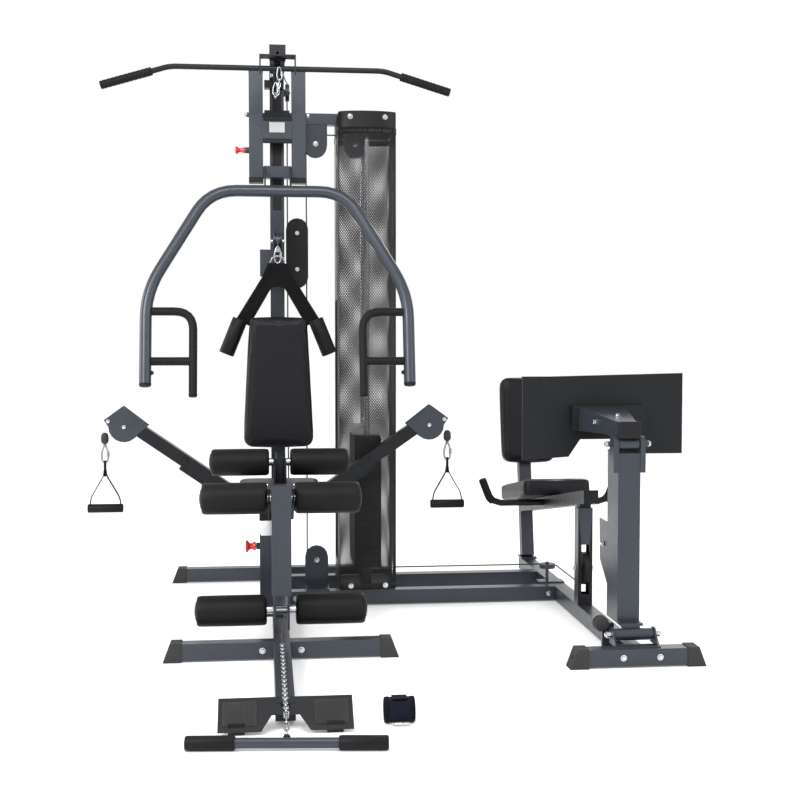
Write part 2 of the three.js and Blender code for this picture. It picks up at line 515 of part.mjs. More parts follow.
function addSeat() {
  const x = [SEAT_POST_X - HALF, SEAT_POST_X + HALF];
  const y = [SEAT_POST_Y - HALF, SEAT_POST_Y + HALF];
  const pinZ = 281;
  const pinBore = rod([x[0] - 40, SEAT_POST_Y, pinZ], [x[0] + 12, SEAT_POST_Y, pinZ], 5.4, 12);
  const barrel = rod([x[0] - 12, SEAT_POST_Y, pinZ], [x[0] + 1, SEAT_POST_Y, pinZ], 11, 12);
  const post = join(squareTube("z", x, y, [BEAM_TOP + GAP, 318]), barrel,
    box([-60, 24], [y[0] - 20, y[1] + 20], [BEAM_TOP + GAP, BEAM_TOP + 7]));
  const shaftRoom = box([x[0] + WALL, x[1] - WALL], [y[0] + WALL, y[1] - WALL], [50, 330]);
  add("seat_post", cut(post, pinBore, shaftRoom), FRAME());
  add("seat_pin", join(
    rod([x[0] - 28, SEAT_POST_Y, pinZ], [x[0] + 2, SEAT_POST_Y, pinZ], 4.8, 12),
    rod([x[0] - 50, SEAT_POST_Y, pinZ], [x[0] - 25, SEAT_POST_Y, pinZ], 14, 12)), RED());

  const inner = squareTube("z", [x[0] + 3.5, x[1] - 3.5], [y[0] + 3.5, y[1] - 3.5], [90, 400], 2);
  const pinHoles = rod([x[0] - 5, SEAT_POST_Y, pinZ], [x[0] + 12, SEAT_POST_Y, pinZ], 5.6, 12);
  const rail = box([-66, 22], [-640, -200], [395, 425]);
  const tray = box([-110, 110], [-540, -230], [420, 426]);
  const head = cut(box([-22, 18], [-690, -600], [395, 585]), box([-15, 11], [-700, -630], [380, 600]));
  const ears = [[-40, -33], [33, 40]].map((e) => plate("x", e[0], e[1],
    [[-600, 400], [-600, 450], ...arc(KNEE_Y, KNEE_Z, 20, 60, 240, 6), [-650, 400]]));
  const earLink = box([-40, 40], [-640, -600], [400, 425]);
  const thighX = [-13, 9];
  const thighArm = join(box(thighX, [-655, -440], [574, 596]), box(thighX, [-660, -640], [455, 600]),
    box(thighX, [-640, -600], [455, 475]));
  const thighEye = cut(rod([thighX[0], THIGH_Y, THIGH_Z], [thighX[1], THIGH_Y, THIGH_Z], 30, 14),
    rod([-20, THIGH_Y, THIGH_Z], [20, THIGH_Y, THIGH_Z], AXLE_BORE, 12));
  const kneeBore = rod([-50, KNEE_Y, KNEE_Z], [50, KNEE_Y, KNEE_Z], AXLE_BORE, 12);
  const seatParts = join(inner, rail, tray, head, ears, earLink, thighArm, thighEye);
  add("seat_frame", cut(seatParts, pinHoles, kneeBore), CHROME());

  const pad = new THREE.Shape([
    [-140, -200], [140, -200], ...arc(120, -560, 40, 0, -90, 5), ...arc(-120, -560, 40, -90, -180, 5),
  ].map(([a, b]) => new THREE.Vector2(a, b)));
  add("seat_pad", solid(new THREE.ExtrudeGeometry(pad, { depth: 58, bevelEnabled: false }),
    new THREE.Matrix4().makeTranslation(0, 0, 426 + GAP)).trimByPlane([0, 1, 0], -595), VINYL());
  add("thigh_rollers", rollerPair(THIGH_Y, THIGH_Z, 44, 34, 222), FOAM());
  add("knee_rollers", rollerPair(KNEE_Y, KNEE_Z, 48, 41, 238), FOAM());
}

function addLegDeveloper() {
  const arm = squareTube("z", [-29, 29], [-832, -782], [197, 526]);
  const topPlug = box([-28, 28], [-831, -783], [520, 526]);
  const pivotCheeks = [[-31.5, -26], [26, 31.5]].map((e) => plate("x", e[0], e[1],
    [[-790, 440], [-790, 520], ...arc(KNEE_Y, KNEE_Z, 22, 60, -60, 6)]));
  const fork = [[-24, -17], [17, 24]].map((e) => plate("x", e[0], e[1],
    [[-826, 240], [-826, 196], [-790, 84], ...arc(ANKLE_Y, ANKLE_Z, 24, 250, 400, 6), [-784, 240]]));
  const forkTop = box([-24, 24], [-828, -786], [196, 204]);
  const bores = [
    rod([-60, KNEE_Y, KNEE_Z], [60, KNEE_Y, KNEE_Z], AXLE_BORE, 12),
    rod([-60, ANKLE_Y, ANKLE_Z], [60, ANKLE_Y, ANKLE_Z], AXLE_BORE, 12)];
  add("leg_developer_arm", cut(join(arm, topPlug, pivotCheeks, fork, forkTop), bores), FRAME());
  add("ankle_rollers", rollerPair(ANKLE_Y, ANKLE_Z, 47, 44, 256), FOAM());
}

function addBackrest() {
  const low = 583;
  const high = 1038;
  const outline = [
    ...arc(124 - 26, low + 26, 26, -90, 0, 5), ...arc(103 - 12, high - 12, 12, 0, 90, 4),
    ...arc(-103 + 12, high - 12, 12, 90, 180, 4), ...arc(-124 + 26, low + 26, 26, 180, 270, 5)];
  add("backrest_pad", plate("y", -197, -141.5, outline), VINYL());
}

// ---------- cable arms ----------
const ARM_PIVOT = [120, 396];    // X and Z of the hinge, and of the end wheel
const ARM_END = [530, 658];
const ARM_Y = -128;

function addCableArms() {
  const acrossY = (x, z, half, radius, sides) => rod(
    [x, ARM_Y - half, z], [x, ARM_Y + half, z], radius, sides);
  const hub = join(
    box([-150, 150], [ARM_Y + 24, ARM_Y + 32], [352, 430]),
    box([-24, 24], [ARM_Y + 30, -HALF - GAP], [352, 430]),
    [-1, 1].map((side) => acrossY(side * ARM_PIVOT[0], ARM_PIVOT[1], 30, 8, 14)));
  add("cable_arm_hub", hub, FRAME());

  const angle = Math.atan2(ARM_END[1] - 5 - ARM_PIVOT[1], ARM_END[0] - 40 - ARM_PIVOT[0]);
  const length = 446;
  const sleeve = cut(box([-26, length], [ARM_Y - 22, ARM_Y + 22], [-22, 22]),
    box([-10, length + 1], [ARM_Y - 19, ARM_Y + 19], [-19, 19]));
  const rib = box([40, 250], [ARM_Y - 12, ARM_Y + 12], [-36, -21]);
  const pinBarrel = rod([250, ARM_Y - 21, 0], [250, ARM_Y - 34, 0], 9, 14);
  const place = new THREE.Matrix4().makeTranslation(ARM_PIVOT[0], 0, ARM_PIVOT[1])
    .multiply(new THREE.Matrix4().makeRotationY(-angle));
  const arm = join(sleeve, rib, pinBarrel).transform(place.elements);
  const outline = [
    [ARM_END[0] - 82, ARM_END[1] + 4], [ARM_END[0] + 4, ARM_END[1] + 71], [ARM_END[0] + 68, ARM_END[1] + 24],
    ...arc(...ARM_END, 53, 0, -150, 8)];
  const cheeks = [-24, 20].map((y) => plate("y", ARM_Y + y, ARM_Y + y + 4, outline));
  const axle = acrossY(...ARM_END, 28, 6, 12);
  const wheel = acrossY(...ARM_END, 9, 42, 16);
  const keeper = acrossY(ARM_END[0] + 54, ARM_END[1] + 20, 26, 5, 10);
  const bore = acrossY(...ARM_PIVOT, 40, 8.6, 14);
  const whole = cut(join(arm, cheeks, axle, wheel, keeper), bore);
  add("cable_arm_right", whole, FRAME());
  add("cable_arm_left", mirror(whole), FRAME());

  const handleX = ARM_END[0] + 68;
  const swivel = rod([handleX, ARM_Y, 492], [handleX, ARM_Y, 638], 6, 10);
  const stopBall = rod([handleX, ARM_Y, 600], [handleX, ARM_Y, 636], 13, 14);
  const strap = (side) => bent([[handleX, ARM_Y, 498], [handleX + side * 50, ARM_Y, 414],
    [handleX + side * 54, ARM_Y, 378]], 5, 30, 8);
  const bar = rod([handleX - 60, ARM_Y, 374], [handleX + 60, ARM_Y, 374], 15, 12);
  const stirrup = join(swivel, stopBall, strap(-1), strap(1), bar);
  add("stirrup_right", stirrup, FOAM());
  add("stirrup_left", mirror(stirrup), FOAM());
}

// ---------- bars, harness and strap ----------
function addAttachments() {
  const latY = -330;
  const latZ = 1852;
  const half = (side) => join(
    bent([[0, latY, latZ], [side * 352, latY, latZ], [side * 398, latY, latZ - 14],
      [side * 572, latY, latZ - 66]], 9, 60, 10),
    rod([side * 410, latY, latZ - 18], [side * 573, latY, latZ - 66], 14, 14));
  const eye = box([-4, 4], [latY - 8, latY + 8], [latZ - 34, latZ]);
  add("lat_bar", join(half(-1), half(1), eye), CHROME());

  const strapY = -112;
  const web = (side) => bent([[0, strapY, 1212], [side * 40, strapY, 1150], [side * 112, strapY, 1040],
    [side * 140, strapY, 980]], 9, 50, 8);
  const grip = (side) => rod([side * 134, strapY, 1024], [side * 180, strapY, 908], 27, 12);
  const ring = rod([0, strapY, 1205], [0, strapY, 1270], 9, 10);
  add("crunch_harness", join(web(-1), web(1), grip(-1), grip(1), ring), WEBBING());

  const bar = join(
    rod([-236, 0, 0], [236, 0, 0], 12.5, 14),
    [-1, 1].map((side) => rod([side * 122, 0, 0], [side * 236, 0, 0], 17.5, 12)));
  const placed = bar.rotate([0, 0, -5.5]).translate([0, -1640, 17.6]);
  const chain = bent([[0, -1636, 22], [0, -1585, 34], [0, -1535, 62], [0, -850, 62]], 5.5, 30, 6);
  add("low_row_bar", join(placed, chain), CHROME());

  const cuffX = 283;
  const cuffY = -1452;
  const cuffR = 32;
  const band = rod([cuffX - 38, cuffY, cuffR], [cuffX + 38, cuffY, cuffR], cuffR, 18);
  const ringTab = box([cuffX - 20, cuffX + 20], [cuffY - 50, cuffY - 16], [0, 7]);
  const ankleRoom = rod([cuffX - 45, cuffY, cuffR], [cuffX + 45, cuffY, cuffR], cuffR - 5, 18);
  add("ankle_strap", cut(join(band, ringTab), ankleRoom), WEBBING());
}

// ---------- leg press station ----------
function addLegPressFrame() {
  const y = -1012;
  const cross = crossTube(LP_X - 152, LP_X + 152, y);
  const ears = [[LP_X - 62, LP_X - 56], [LP_X + 64, LP_X + 70]].map((x) => plate("x", x[0], x[1],
    [[-1000, BEAM_TOP - 1], [-915, BEAM_TOP - 1], ...arc(LP_PIVOT_Y, LP_PIVOT_Z, 22, 0, 180, 8)]));
  const saddle = box([LP_X - 62, LP_X + 70], [-1000, -963 - GAP], [BEAM_TOP - 1, BEAM_TOP + 4]);
  const bores = rod([LP_X - 90, LP_PIVOT_Y, LP_PIVOT_Z], [LP_X + 90, LP_PIVOT_Y, LP_PIVOT_Z], 10.4, 12);
  add("leg_press_cross_tube", cut(join(cross, ears, saddle), bores), FRAME());

  const base = squareTube("y", [LP_X - HALF, LP_X + HALF], [y + TUBE + GAP, 580], [LOW, BEAM_TOP]);
  const turnPlate = box([LP_X - 70, LP_X + HALF], [0, 56], [BEAM_TOP - 1, BEAM_TOP + 5]);
  const turnWheel = join(
    rod([LP_X - PULLEY_R, 28, BEAM_TOP + 3], [LP_X - PULLEY_R, 28, 130], 6, 12),
    rod([LP_X - PULLEY_R, 28, 107], [LP_X - PULLEY_R, 28, 123], 30, 14));
  const bumper = join(
    box([LP_X - 74, LP_X - HALF + 1], [-884, -872], [34, 54]),
    box([LP_X - 74, LP_X - 38], [-884, -872], [50, 104]),
    rod([LP_X - 80, -906, 106], [LP_X - 80, -872, 106], 22, 12));
  add("leg_press_base_beam", join(base, turnPlate, turnWheel, bumper), FRAME());

  const postY = [-397, -347];
  const post = squareTube("z", [LP_X - HALF, LP_X + HALF], postY, [BEAM_TOP + GAP, 387]);
  const slot = box([LP_X - 13, LP_X + 15], [postY[0] - 5, postY[1] + 5], [92, 262]);
  const wheelAxle = rod([LP_X - 27, -372, 178], [LP_X + 27, -372, 178], 5, 10);
  const wheel = rod([LP_X - 6, -372, 178], [LP_X + 10, -372, 178], 56, 18);
  add("leg_press_mid_post", join(cut(post, slot), wheelAxle, wheel), FRAME());
}

function addLegPressSeat() {
  const about = [-372, 418];
  const rail = turned(box([LP_X - HALF, LP_X + HALF], [-470, 580], [396, 441]), -LP_TILT, about);
  const rearLean = THREE.MathUtils.degToRad(11);
  const rear = turned(box([LP_X - HALF, LP_X + HALF], [520, 565], [72, 760]), -rearLean, [520, 62]);
  const rearFoot = box([LP_X - 32, LP_X + 32], [505, 580], [BEAM_TOP + GAP, BEAM_TOP + 9]);
  const tubes = join(rail, rear, rearFoot, box([LP_X - 20, LP_X + 20], [-392, -352], [387.5, 430]));
  const stub = (side) => bent([[LP_X + side * 20, 150, 338], [LP_X + side * 205, 150, 338],
    [LP_X + side * 232, 150, 358], [LP_X + side * 258, 150, 425]], 12.5, 30, 12);
  add("leg_press_seat_frame", join(tubes, stub(-1), stub(1)), FRAME());

  const seat = turned(box([LP_X - 120, LP_X + 136], [35, 520], [441.5, 504]), -LP_TILT, about);
  add("leg_press_seat_pad", seat, VINYL());
  const back = turned(box([LP_X - 106, LP_X + 122], [460, 519], [450, 812]), -rearLean, [520, 62]);
  add("leg_press_backrest", back, VINYL());
}

function addLegPressArm() {
  const x = [LP_X - 33, LP_X + 35];
  const upright = squareTube("z", x, [-900, -784], [112, 618]);
  const skirt = box([x[0], x[1]], [-938, -784], [106, 114]);
  const pivotRod = (low, high, radius, sides) => rod(
    [LP_X + low, LP_PIVOT_Y, LP_PIVOT_Z], [LP_X + high, LP_PIVOT_Y, LP_PIVOT_Z], radius, sides);
  const barrel = cut(pivotRod(-54, 62, 18, 14), pivotRod(-60, 70, 10.4, 12));
  const web = box([x[0] + 8, x[1] - 8], [-935, -910], [96, 108]);
  const topEars = [[LP_X - 48, x[0] + 1], [x[1] - 1, LP_X + 50]].map((e) => plate("x", e[0], e[1],
    [[-902, 560], [-860, 560], ...arc(LP_HINGE_Y, LP_HINGE_Z, 24, 0, 180, 8)]));
  const backCheeks = [-24, 20].map((e) => plate("x", LP_X + e, LP_X + e + 4,
    [[-785, 392], [-785, 200], [-760, 192], [-668, 262], [-660, 392]]));
  const backWheel = join(rod([LP_X - 8, -712, 318], [LP_X + 8, -712, 318], 34, 14),
    rod([LP_X - 26, -712, 318], [LP_X + 26, -712, 318], 5, 10));
  const hingeBolt = rod([LP_X - 62, LP_HINGE_Y, LP_HINGE_Z], [LP_X + 64, LP_HINGE_Y, LP_HINGE_Z], 8, 12);
  add("leg_press_arm", join(upright, skirt, barrel, web, topEars, backCheeks, backWheel, hingeBolt), FRAME());
  add("leg_press_axle", pivotRod(-74, 82, 10, 14), CHROME());

  const plateY = -600;
  const outline = [
    [LP_X - 263, 572], [LP_X - 112, 582], [LP_X - 74, 638], [LP_X + 74, 638], [LP_X + 112, 590],
    [LP_X + 263, 590], [LP_X + 263, 850], [LP_X - 263, 838]];
  const tread = plate("y", plateY - 6, plateY, outline);
  const lip = box([LP_X - 263, LP_X + 263], [plateY - 3, plateY + 14], [834, 840]);
  const channel = box([LP_X - 108, LP_X + 130], [plateY - 40, plateY - 5], [668, 748]);
  const carrier = box([LP_X - 30, LP_X + 32], [-905, plateY - 38], [664, 712]);
  const carrierBore = box([LP_X - 26, LP_X + 28], [-910, plateY - 45], [668, 708]);
  const hinge = cut(rod([x[0] + 3, LP_HINGE_Y, LP_HINGE_Z], [x[1] - 3, LP_HINGE_Y, LP_HINGE_Z], 20, 12),
    rod([LP_X - 60, LP_HINGE_Y, LP_HINGE_Z], [LP_X + 60, LP_HINGE_Y, LP_HINGE_Z], 8.6, 14));
  // a bracket that widens and rises from the carrier tube to the channel, hollow from below
  const bracketSide = plate("x", LP_X - 100, LP_X + 100,
    [[-860, 668], [-860, 712], [plateY - 38, 742], [plateY - 38, 668]]);
  const bracket = plate("z", 668, 742, [
    [LP_X - 86, plateY - 38], [LP_X - 30, -860], [LP_X + 32, -860], [LP_X + 66, plateY - 38]])
    .intersect(bracketSide);
  const bracketCore = plate("x", LP_X - 22, LP_X + 24,
    [[-850, 660], [-850, 706], [plateY - 45, 736], [plateY - 45, 660]]);
  add("leg_press_foot_plate", cut(
    join(tread, lip, channel, carrier, hinge, bracket), carrierBore, bracketCore), FRAME());
}

addFloorFrame();
addFootPlate();
addColumn();
addBoom();
addCrossBeam();
addTower();
addPulleyBlock();
addCables();
addPressArm();
addBackrest();
addSeat();
addLegDeveloper();
addCableArms();
addAttachments();
addLegPressFrame();
addLegPressSeat();
addLegPressArm();

// the origin is the middle of the footprint, on the floor
const bounds = new THREE.Box3().setFromObject(group);
const middle = bounds.getCenter(new THREE.Vector3());
for (const node of group.children) node.geometry.translate(-middle.x, -middle.y, -bounds.min.z);

export default group;
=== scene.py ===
# Looks of the multi station home gym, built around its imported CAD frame.
# Lengths in this script are millimetres from the main column's axis (X, Y) and the floor (Z),
# as in the CAD; at() turns them into the frame's metres.
import json
import math

import bmesh
import bpy
from mathutils import Matrix, Vector

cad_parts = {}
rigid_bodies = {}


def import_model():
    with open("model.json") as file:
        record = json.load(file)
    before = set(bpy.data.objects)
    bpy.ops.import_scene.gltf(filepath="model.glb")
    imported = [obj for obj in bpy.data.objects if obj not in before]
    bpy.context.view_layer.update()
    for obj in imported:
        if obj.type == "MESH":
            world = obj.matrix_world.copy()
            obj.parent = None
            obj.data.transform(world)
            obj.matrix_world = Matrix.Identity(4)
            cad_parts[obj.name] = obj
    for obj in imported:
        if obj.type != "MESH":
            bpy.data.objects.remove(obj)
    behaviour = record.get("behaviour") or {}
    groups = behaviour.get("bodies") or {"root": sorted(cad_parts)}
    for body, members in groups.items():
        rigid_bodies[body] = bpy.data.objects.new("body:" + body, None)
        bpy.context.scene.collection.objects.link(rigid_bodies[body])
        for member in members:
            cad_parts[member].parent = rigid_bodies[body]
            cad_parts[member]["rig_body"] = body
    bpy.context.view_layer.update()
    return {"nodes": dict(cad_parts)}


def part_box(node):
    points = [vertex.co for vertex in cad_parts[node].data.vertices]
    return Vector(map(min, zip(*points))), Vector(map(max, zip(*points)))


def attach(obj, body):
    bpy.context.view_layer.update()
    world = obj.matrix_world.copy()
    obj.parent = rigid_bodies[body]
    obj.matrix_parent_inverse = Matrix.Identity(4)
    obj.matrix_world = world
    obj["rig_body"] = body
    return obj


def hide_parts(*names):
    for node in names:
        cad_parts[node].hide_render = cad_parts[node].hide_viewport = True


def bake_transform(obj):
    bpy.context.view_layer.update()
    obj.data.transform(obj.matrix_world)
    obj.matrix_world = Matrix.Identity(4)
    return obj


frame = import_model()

MM = 0.001
beam_low, beam_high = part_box("main_base_beam")
ORIGIN = Vector(((beam_low.x + beam_high.x) / 2, beam_high.y - 433.7 * MM, 0.0))


def at(x, y, z):
    return ORIGIN + Vector((x, y, z)) * MM


# ---------- camera, light and floor ----------
CAMERA_PLACE = (-47.3, -4510.4, 947.5)
CAMERA_PITCH = 0.0459
CAMERA_YAW = 0.1082

camera_data = bpy.data.cameras.new("camera")
camera_data.lens = 56.06
camera_data.sensor_width = 36
camera = bpy.data.objects.new("camera", camera_data)
camera.location = at(*CAMERA_PLACE)
camera.rotation_euler = (math.pi / 2 - CAMERA_PITCH, 0, -CAMERA_YAW)
bpy.context.scene.collection.objects.link(camera)
bpy.context.scene.camera = camera


def area_light(name, place, target, size, power):
    data = bpy.data.lights.new(name, "AREA")
    data.shape = "DISK"
    data.size = size
    data.energy = power
    lamp = bpy.data.objects.new(name, data)
    lamp.location = at(*place)
    lamp.rotation_euler = (at(*target) - lamp.location).to_track_quat("-Z", "Y").to_euler()
    bpy.context.scene.collection.objects.link(lamp)


CENTRE = (350, -300, 900)
area_light("key_light", (-2600, -3600, 3000), CENTRE, 1.6, 130)
area_light("fill_light", (3400, -2900, 2200), CENTRE, 2.2, 30)
area_light("rear_light", (1800, 3400, 3000), CENTRE, 2.6, 60)
area_light("left_light", (-3600, 500, 1800), CENTRE, 2.0, 45)
area_light("upper_light", (100, -2700, 3200), (0, -60, 1700), 1.2, 38)

world = bpy.data.worlds.new("studio")
world.use_nodes = True
world.node_tree.nodes["Background"].inputs["Color"].default_value = (1, 1, 1, 1)
world.node_tree.nodes["Background"].inputs["Strength"].default_value = 1.0
bpy.context.scene.world = world
bpy.context.scene.view_settings.view_transform = "Standard"


# ---------- materials ----------
def look(name, colour, rough, metal=0.0, coat=0.0, vary=0.12, grain=(900, 0.15, 0.1),
         texture="noise", rough_vary=0.08, gloss=0.5):
    """A procedural finish: colour drifts slowly, roughness is blotchy and fine relief comes from bump.
    grain is the relief's scale per metre, its strength and its depth in millimetres."""
    material = bpy.data.materials.new(name)
    material.use_nodes = True
    nodes = material.node_tree.nodes
    links = material.node_tree.links
    shader = nodes["Principled BSDF"]
    shader.inputs["Metallic"].default_value = metal
    shader.inputs["Coat Weight"].default_value = coat
    shader.inputs["Coat Roughness"].default_value = 0.25
    shader.inputs["Specular IOR Level"].default_value = gloss
    place = nodes.new("ShaderNodeTexCoord")

    drift = nodes.new("ShaderNodeTexNoise")
    drift.inputs["Scale"].default_value = 9
    drift.inputs["Detail"].default_value = 4
    links.new(place.outputs["Object"], drift.inputs["Vector"])
    ramp = nodes.new("ShaderNodeValToRGB")
    ramp.color_ramp.elements[0].position = 0.3
    ramp.color_ramp.elements[1].position = 0.7
    ramp.color_ramp.elements[0].color = (*[c * (1 - vary) for c in colour], 1)
    ramp.color_ramp.elements[1].color = (*[min(1, c * (1 + vary)) for c in colour], 1)
    links.new(drift.outputs["Fac"], ramp.inputs["Fac"])
    links.new(ramp.outputs["Color"], shader.inputs["Base Color"])

    blotch = nodes.new("ShaderNodeTexNoise")
    blotch.inputs["Scale"].default_value = 42
    blotch.inputs["Detail"].default_value = 6
    links.new(place.outputs["Object"], blotch.inputs["Vector"])
    spread = nodes.new("ShaderNodeMapRange")
    spread.inputs["To Min"].default_value = max(0.03, rough - rough_vary)
    spread.inputs["To Max"].default_value = min(1, rough + rough_vary)
    links.new(blotch.outputs["Fac"], spread.inputs["Value"])
    links.new(spread.outputs["Result"], shader.inputs["Roughness"])

    scale, strength, depth = grain
    if texture == "leather":
        relief = nodes.new("ShaderNodeTexVoronoi")
        relief.feature = "SMOOTH_F1"
        relief.inputs["Scale"].default_value = scale
        height = relief.outputs["Distance"]
    elif texture == "weave":
        relief = nodes.new("ShaderNodeTexWave")
        relief.bands_direction = "DIAGONAL"
        relief.inputs["Scale"].default_value = scale
        relief.inputs["Distortion"].default_value = 0.6
        height = relief.outputs["Fac"]
    else:
        relief = nodes.new("ShaderNodeTexNoise")
        relief.inputs["Scale"].default_value = scale
        relief.inputs["Detail"].default_value = 3
        height = relief.outputs["Fac"]
    links.new(place.outputs["Object"], relief.inputs["Vector"])
    bump = nodes.new("ShaderNodeBump")
    bump.inputs["Strength"].default_value = strength
    bump.inputs["Distance"].default_value = depth * MM
    links.new(height, bump.inputs["Height"])
    links.new(bump.outputs["Normal"], shader.inputs["Normal"])
    return material


LOOKS = {
    "frame_paint": look("frame_paint", (0.028, 0.034, 0.045), 0.36, 0.35, 0.15, 0.08, (1400, 0.25, 0.12)),
    "black_plastic": look("black_plastic", (0.008, 0.008, 0.009), 0.42, vary=0.15, grain=(1600, 0.3, 0.15),
                          gloss=0.22),
    "black_paint": look("black_paint", (0.008, 0.009, 0.011), 0.36, 0.1, 0.03, 0.1, (1400, 0.25, 0.12),
                        gloss=0.22),
    "cable": look("cable", (0.02, 0.02, 0.021), 0.35, coat=0.3, grain=(700, 0.4, 0.3), texture="weave"),
    "shroud_mesh": look("shroud_mesh", (0.014, 0.014, 0.015), 0.34, 0.6, vary=0.15, grain=(500, 0.2, 0.1)),
    "chrome": look("chrome", (0.62, 0.63, 0.65), 0.16, 1.0, vary=0.03, grain=(260, 0.06, 0.05),
                   rough_vary=0.06),
    "zinc": look("zinc", (0.34, 0.35, 0.37), 0.26, 1.0, vary=0.12, grain=(400, 0.1, 0.05)),
    "weight_plate": look("weight_plate", (0.012, 0.012, 0.013), 0.55, 0.3, vary=0.2, grain=(420, 0.5, 0.5),
                         gloss=0.3),
    "red_plastic": look("red_plastic", (0.55, 0.012, 0.016), 0.28, coat=0.4, vary=0.06,
                        grain=(900, 0.1, 0.1)),
    "foam": look("foam", (0.006, 0.006, 0.0068), 0.5, vary=0.25, grain=(1100, 0.45, 0.4), rough_vary=0.05,
                 gloss=0.15),
    "vinyl": look("vinyl", (0.0072, 0.0068, 0.009), 0.42, vary=0.12, grain=(620, 0.35, 0.35),
                  texture="leather", gloss=0.17),
    "webbing": look("webbing", (0.005, 0.005, 0.006), 0.8, vary=0.2, grain=(900, 0.8, 0.6), rough_vary=0.05,
                    texture="weave", gloss=0.12),
    "navy_web": look("navy_web", (0.006, 0.008, 0.018), 0.75, vary=0.25, grain=(800, 0.8, 0.6),
                     texture="weave", gloss=0.15),
    "rubber": look("rubber", (0.026, 0.026, 0.027), 0.7, vary=0.2, grain=(700, 0.6, 0.6), gloss=0.3),
    "label": look("label", (0.42, 0.43, 0.45), 0.35, 0.6, 0.2, 0.05, (900, 0.1, 0.1)),
    "floor": look("floor", (0.9, 0.9, 0.9), 0.65, vary=0.005, grain=(120, 0.05, 0.2)),
}
floor_shader = LOOKS["floor"].node_tree.nodes["Principled BSDF"]
floor_shader.inputs["Emission Color"].default_value = (1, 1, 1, 1)
floor_shader.inputs["Emission Strength"].default_value = 0.13

floor_mesh = bpy.data.meshes.new("floor")
FLOOR_HALF = 30
floor_mesh.from_pydata(
    [(-FLOOR_HALF, -FLOOR_HALF, 0), (FLOOR_HALF, -FLOOR_HALF, 0),
     (FLOOR_HALF, FLOOR_HALF, 0), (-FLOOR_HALF, FLOOR_HALF, 0)], [], [(0, 1, 2, 3)])
floor_mesh.materials.append(LOOKS["floor"])
floor = bpy.data.objects.new("floor", floor_mesh)
bpy.context.scene.collection.objects.link(floor)


# ---------- shapes, each added to a bmesh ----------
def ring_faces(bm, rings, closed_path=False):
    """Skins rings of vertices that follow each other, with flat ends."""
    count = len(rings)
    for i in range(count if closed_path else count - 1):
        one, two = rings[i], rings[(i + 1) % count]
        for k in range(len(one)):
            n = (k + 1) % len(one)
            bm.faces.new((one[k], one[n], two[n], two[k]))
    if not closed_path:
        bm.faces.new(list(reversed(rings[0])))
        bm.faces.new(rings[-1])


def fillet(points, radius, steps=6):
    """The points of a path with each corner rounded."""
    points = [Vector(p) for p in points]
    path = [points[0]]
    for before, here, after in zip(points, points[1:], points[2:]):
        room = min(radius, (here - before).length / 2.1, (here - after).length / 2.1)
        start = here + (before - here).normalized() * room
        end = here + (after - here).normalized() * room
        for i in range(steps + 1):
            t = i / steps
            path.append(start * (1 - t) ** 2 + here * 2 * t * (1 - t) + end * t ** 2)
    path.append(points[-1])
    return path


def sweep(bm, path, section, normal=(0, 0, 1), closed=False):
    """Carries a section, a list of (across, up) offsets, along a path."""
    path = [Vector(p) for p in path]
    up = Vector(normal)
    rings = []
    last = len(path) - 1
    for i, point in enumerate(path):
        if closed:
            heading = (path[(i + 1) % len(path)] - path[i - 1]).normalized()
        else:
            heading = (path[min(i + 1, last)] - path[max(i - 1, 0)]).normalized()
        up = (up - heading * up.dot(heading)).normalized()
        side = heading.cross(up)
        rings.append([bm.verts.new(at(*(point + side * a + up * b))) for a, b in section])
    ring_faces(bm, rings, closed)


def circle(radius, sides=20):
    return [(radius * math.cos(2 * math.pi * k / sides), radius * math.sin(2 * math.pi * k / sides))
            for k in range(sides)]


def oval(width, height, corner, steps=4):
    """A rectangle with rounded corners."""
    points = []
    for cx, cy, first in ((1, 1, 0), (-1, 1, 90), (-1, -1, 180), (1, -1, 270)):
        for k in range(steps + 1):
            angle = math.radians(first + 90 * k / steps)
            points.append((cx * (width / 2 - corner) + corner * math.cos(angle),
                           cy * (height / 2 - corner) + corner * math.sin(angle)))
    return points


def tube(bm, points, radius, corner=0, sides=20, closed=False):
    path = fillet(points, corner) if corner else points
    first = (Vector(path[1]) - Vector(path[0])).normalized()
    normal = (1, 0, 0) if abs(first.z) > 0.9 else (0, 0, 1)
    sweep(bm, path, circle(radius, sides), normal, closed)


def lathe(bm, centre, axis, profile, steps=28):
    """Turns a profile of (radius, distance along the axis) about an axis through centre."""
    turn = Vector((0, 0, 1)).rotation_difference(Vector(axis)).to_matrix()
    rings = []
    for radius, height in profile:
        ring = []
        for k in range(steps):
            angle = 2 * math.pi * k / steps
            local = Vector((max(radius, 0.05) * math.cos(angle), max(radius, 0.05) * math.sin(angle), height))
            ring.append(bm.verts.new(at(*(Vector(centre) + turn @ local))))
        rings.append(ring)
    ring_faces(bm, rings)


def block(bm, x, y, z):
    corners = [bm.verts.new(at(a, b, c)) for a in x for b in y for c in z]
    for face in ((0, 1, 3, 2), (4, 6, 7, 5), (0, 4, 5, 1), (2, 3, 7, 6), (0, 2, 6, 4), (1, 5, 7, 3)):
        bm.faces.new([corners[i] for i in face])


def prism(bm, axis, low, high, outline):
    """An outline in the plane across an axis, given thickness along it."""
    order = {"x": lambda a, b, h: (h, a, b), "y": lambda a, b, h: (a, h, b),
             "z": lambda a, b, h: (a, b, h)}[axis]
    rings = [[bm.verts.new(at(*order(a, b, h))) for a, b in outline] for h in (low, high)]
    ring_faces(bm, rings)


def arc(a, b, radius, start, end, steps=12):
    turns = [math.radians(start + (end - start) * i / steps) for i in range(steps + 1)]
    return [(a + radius * math.cos(turn), b + radius * math.sin(turn)) for turn in turns]


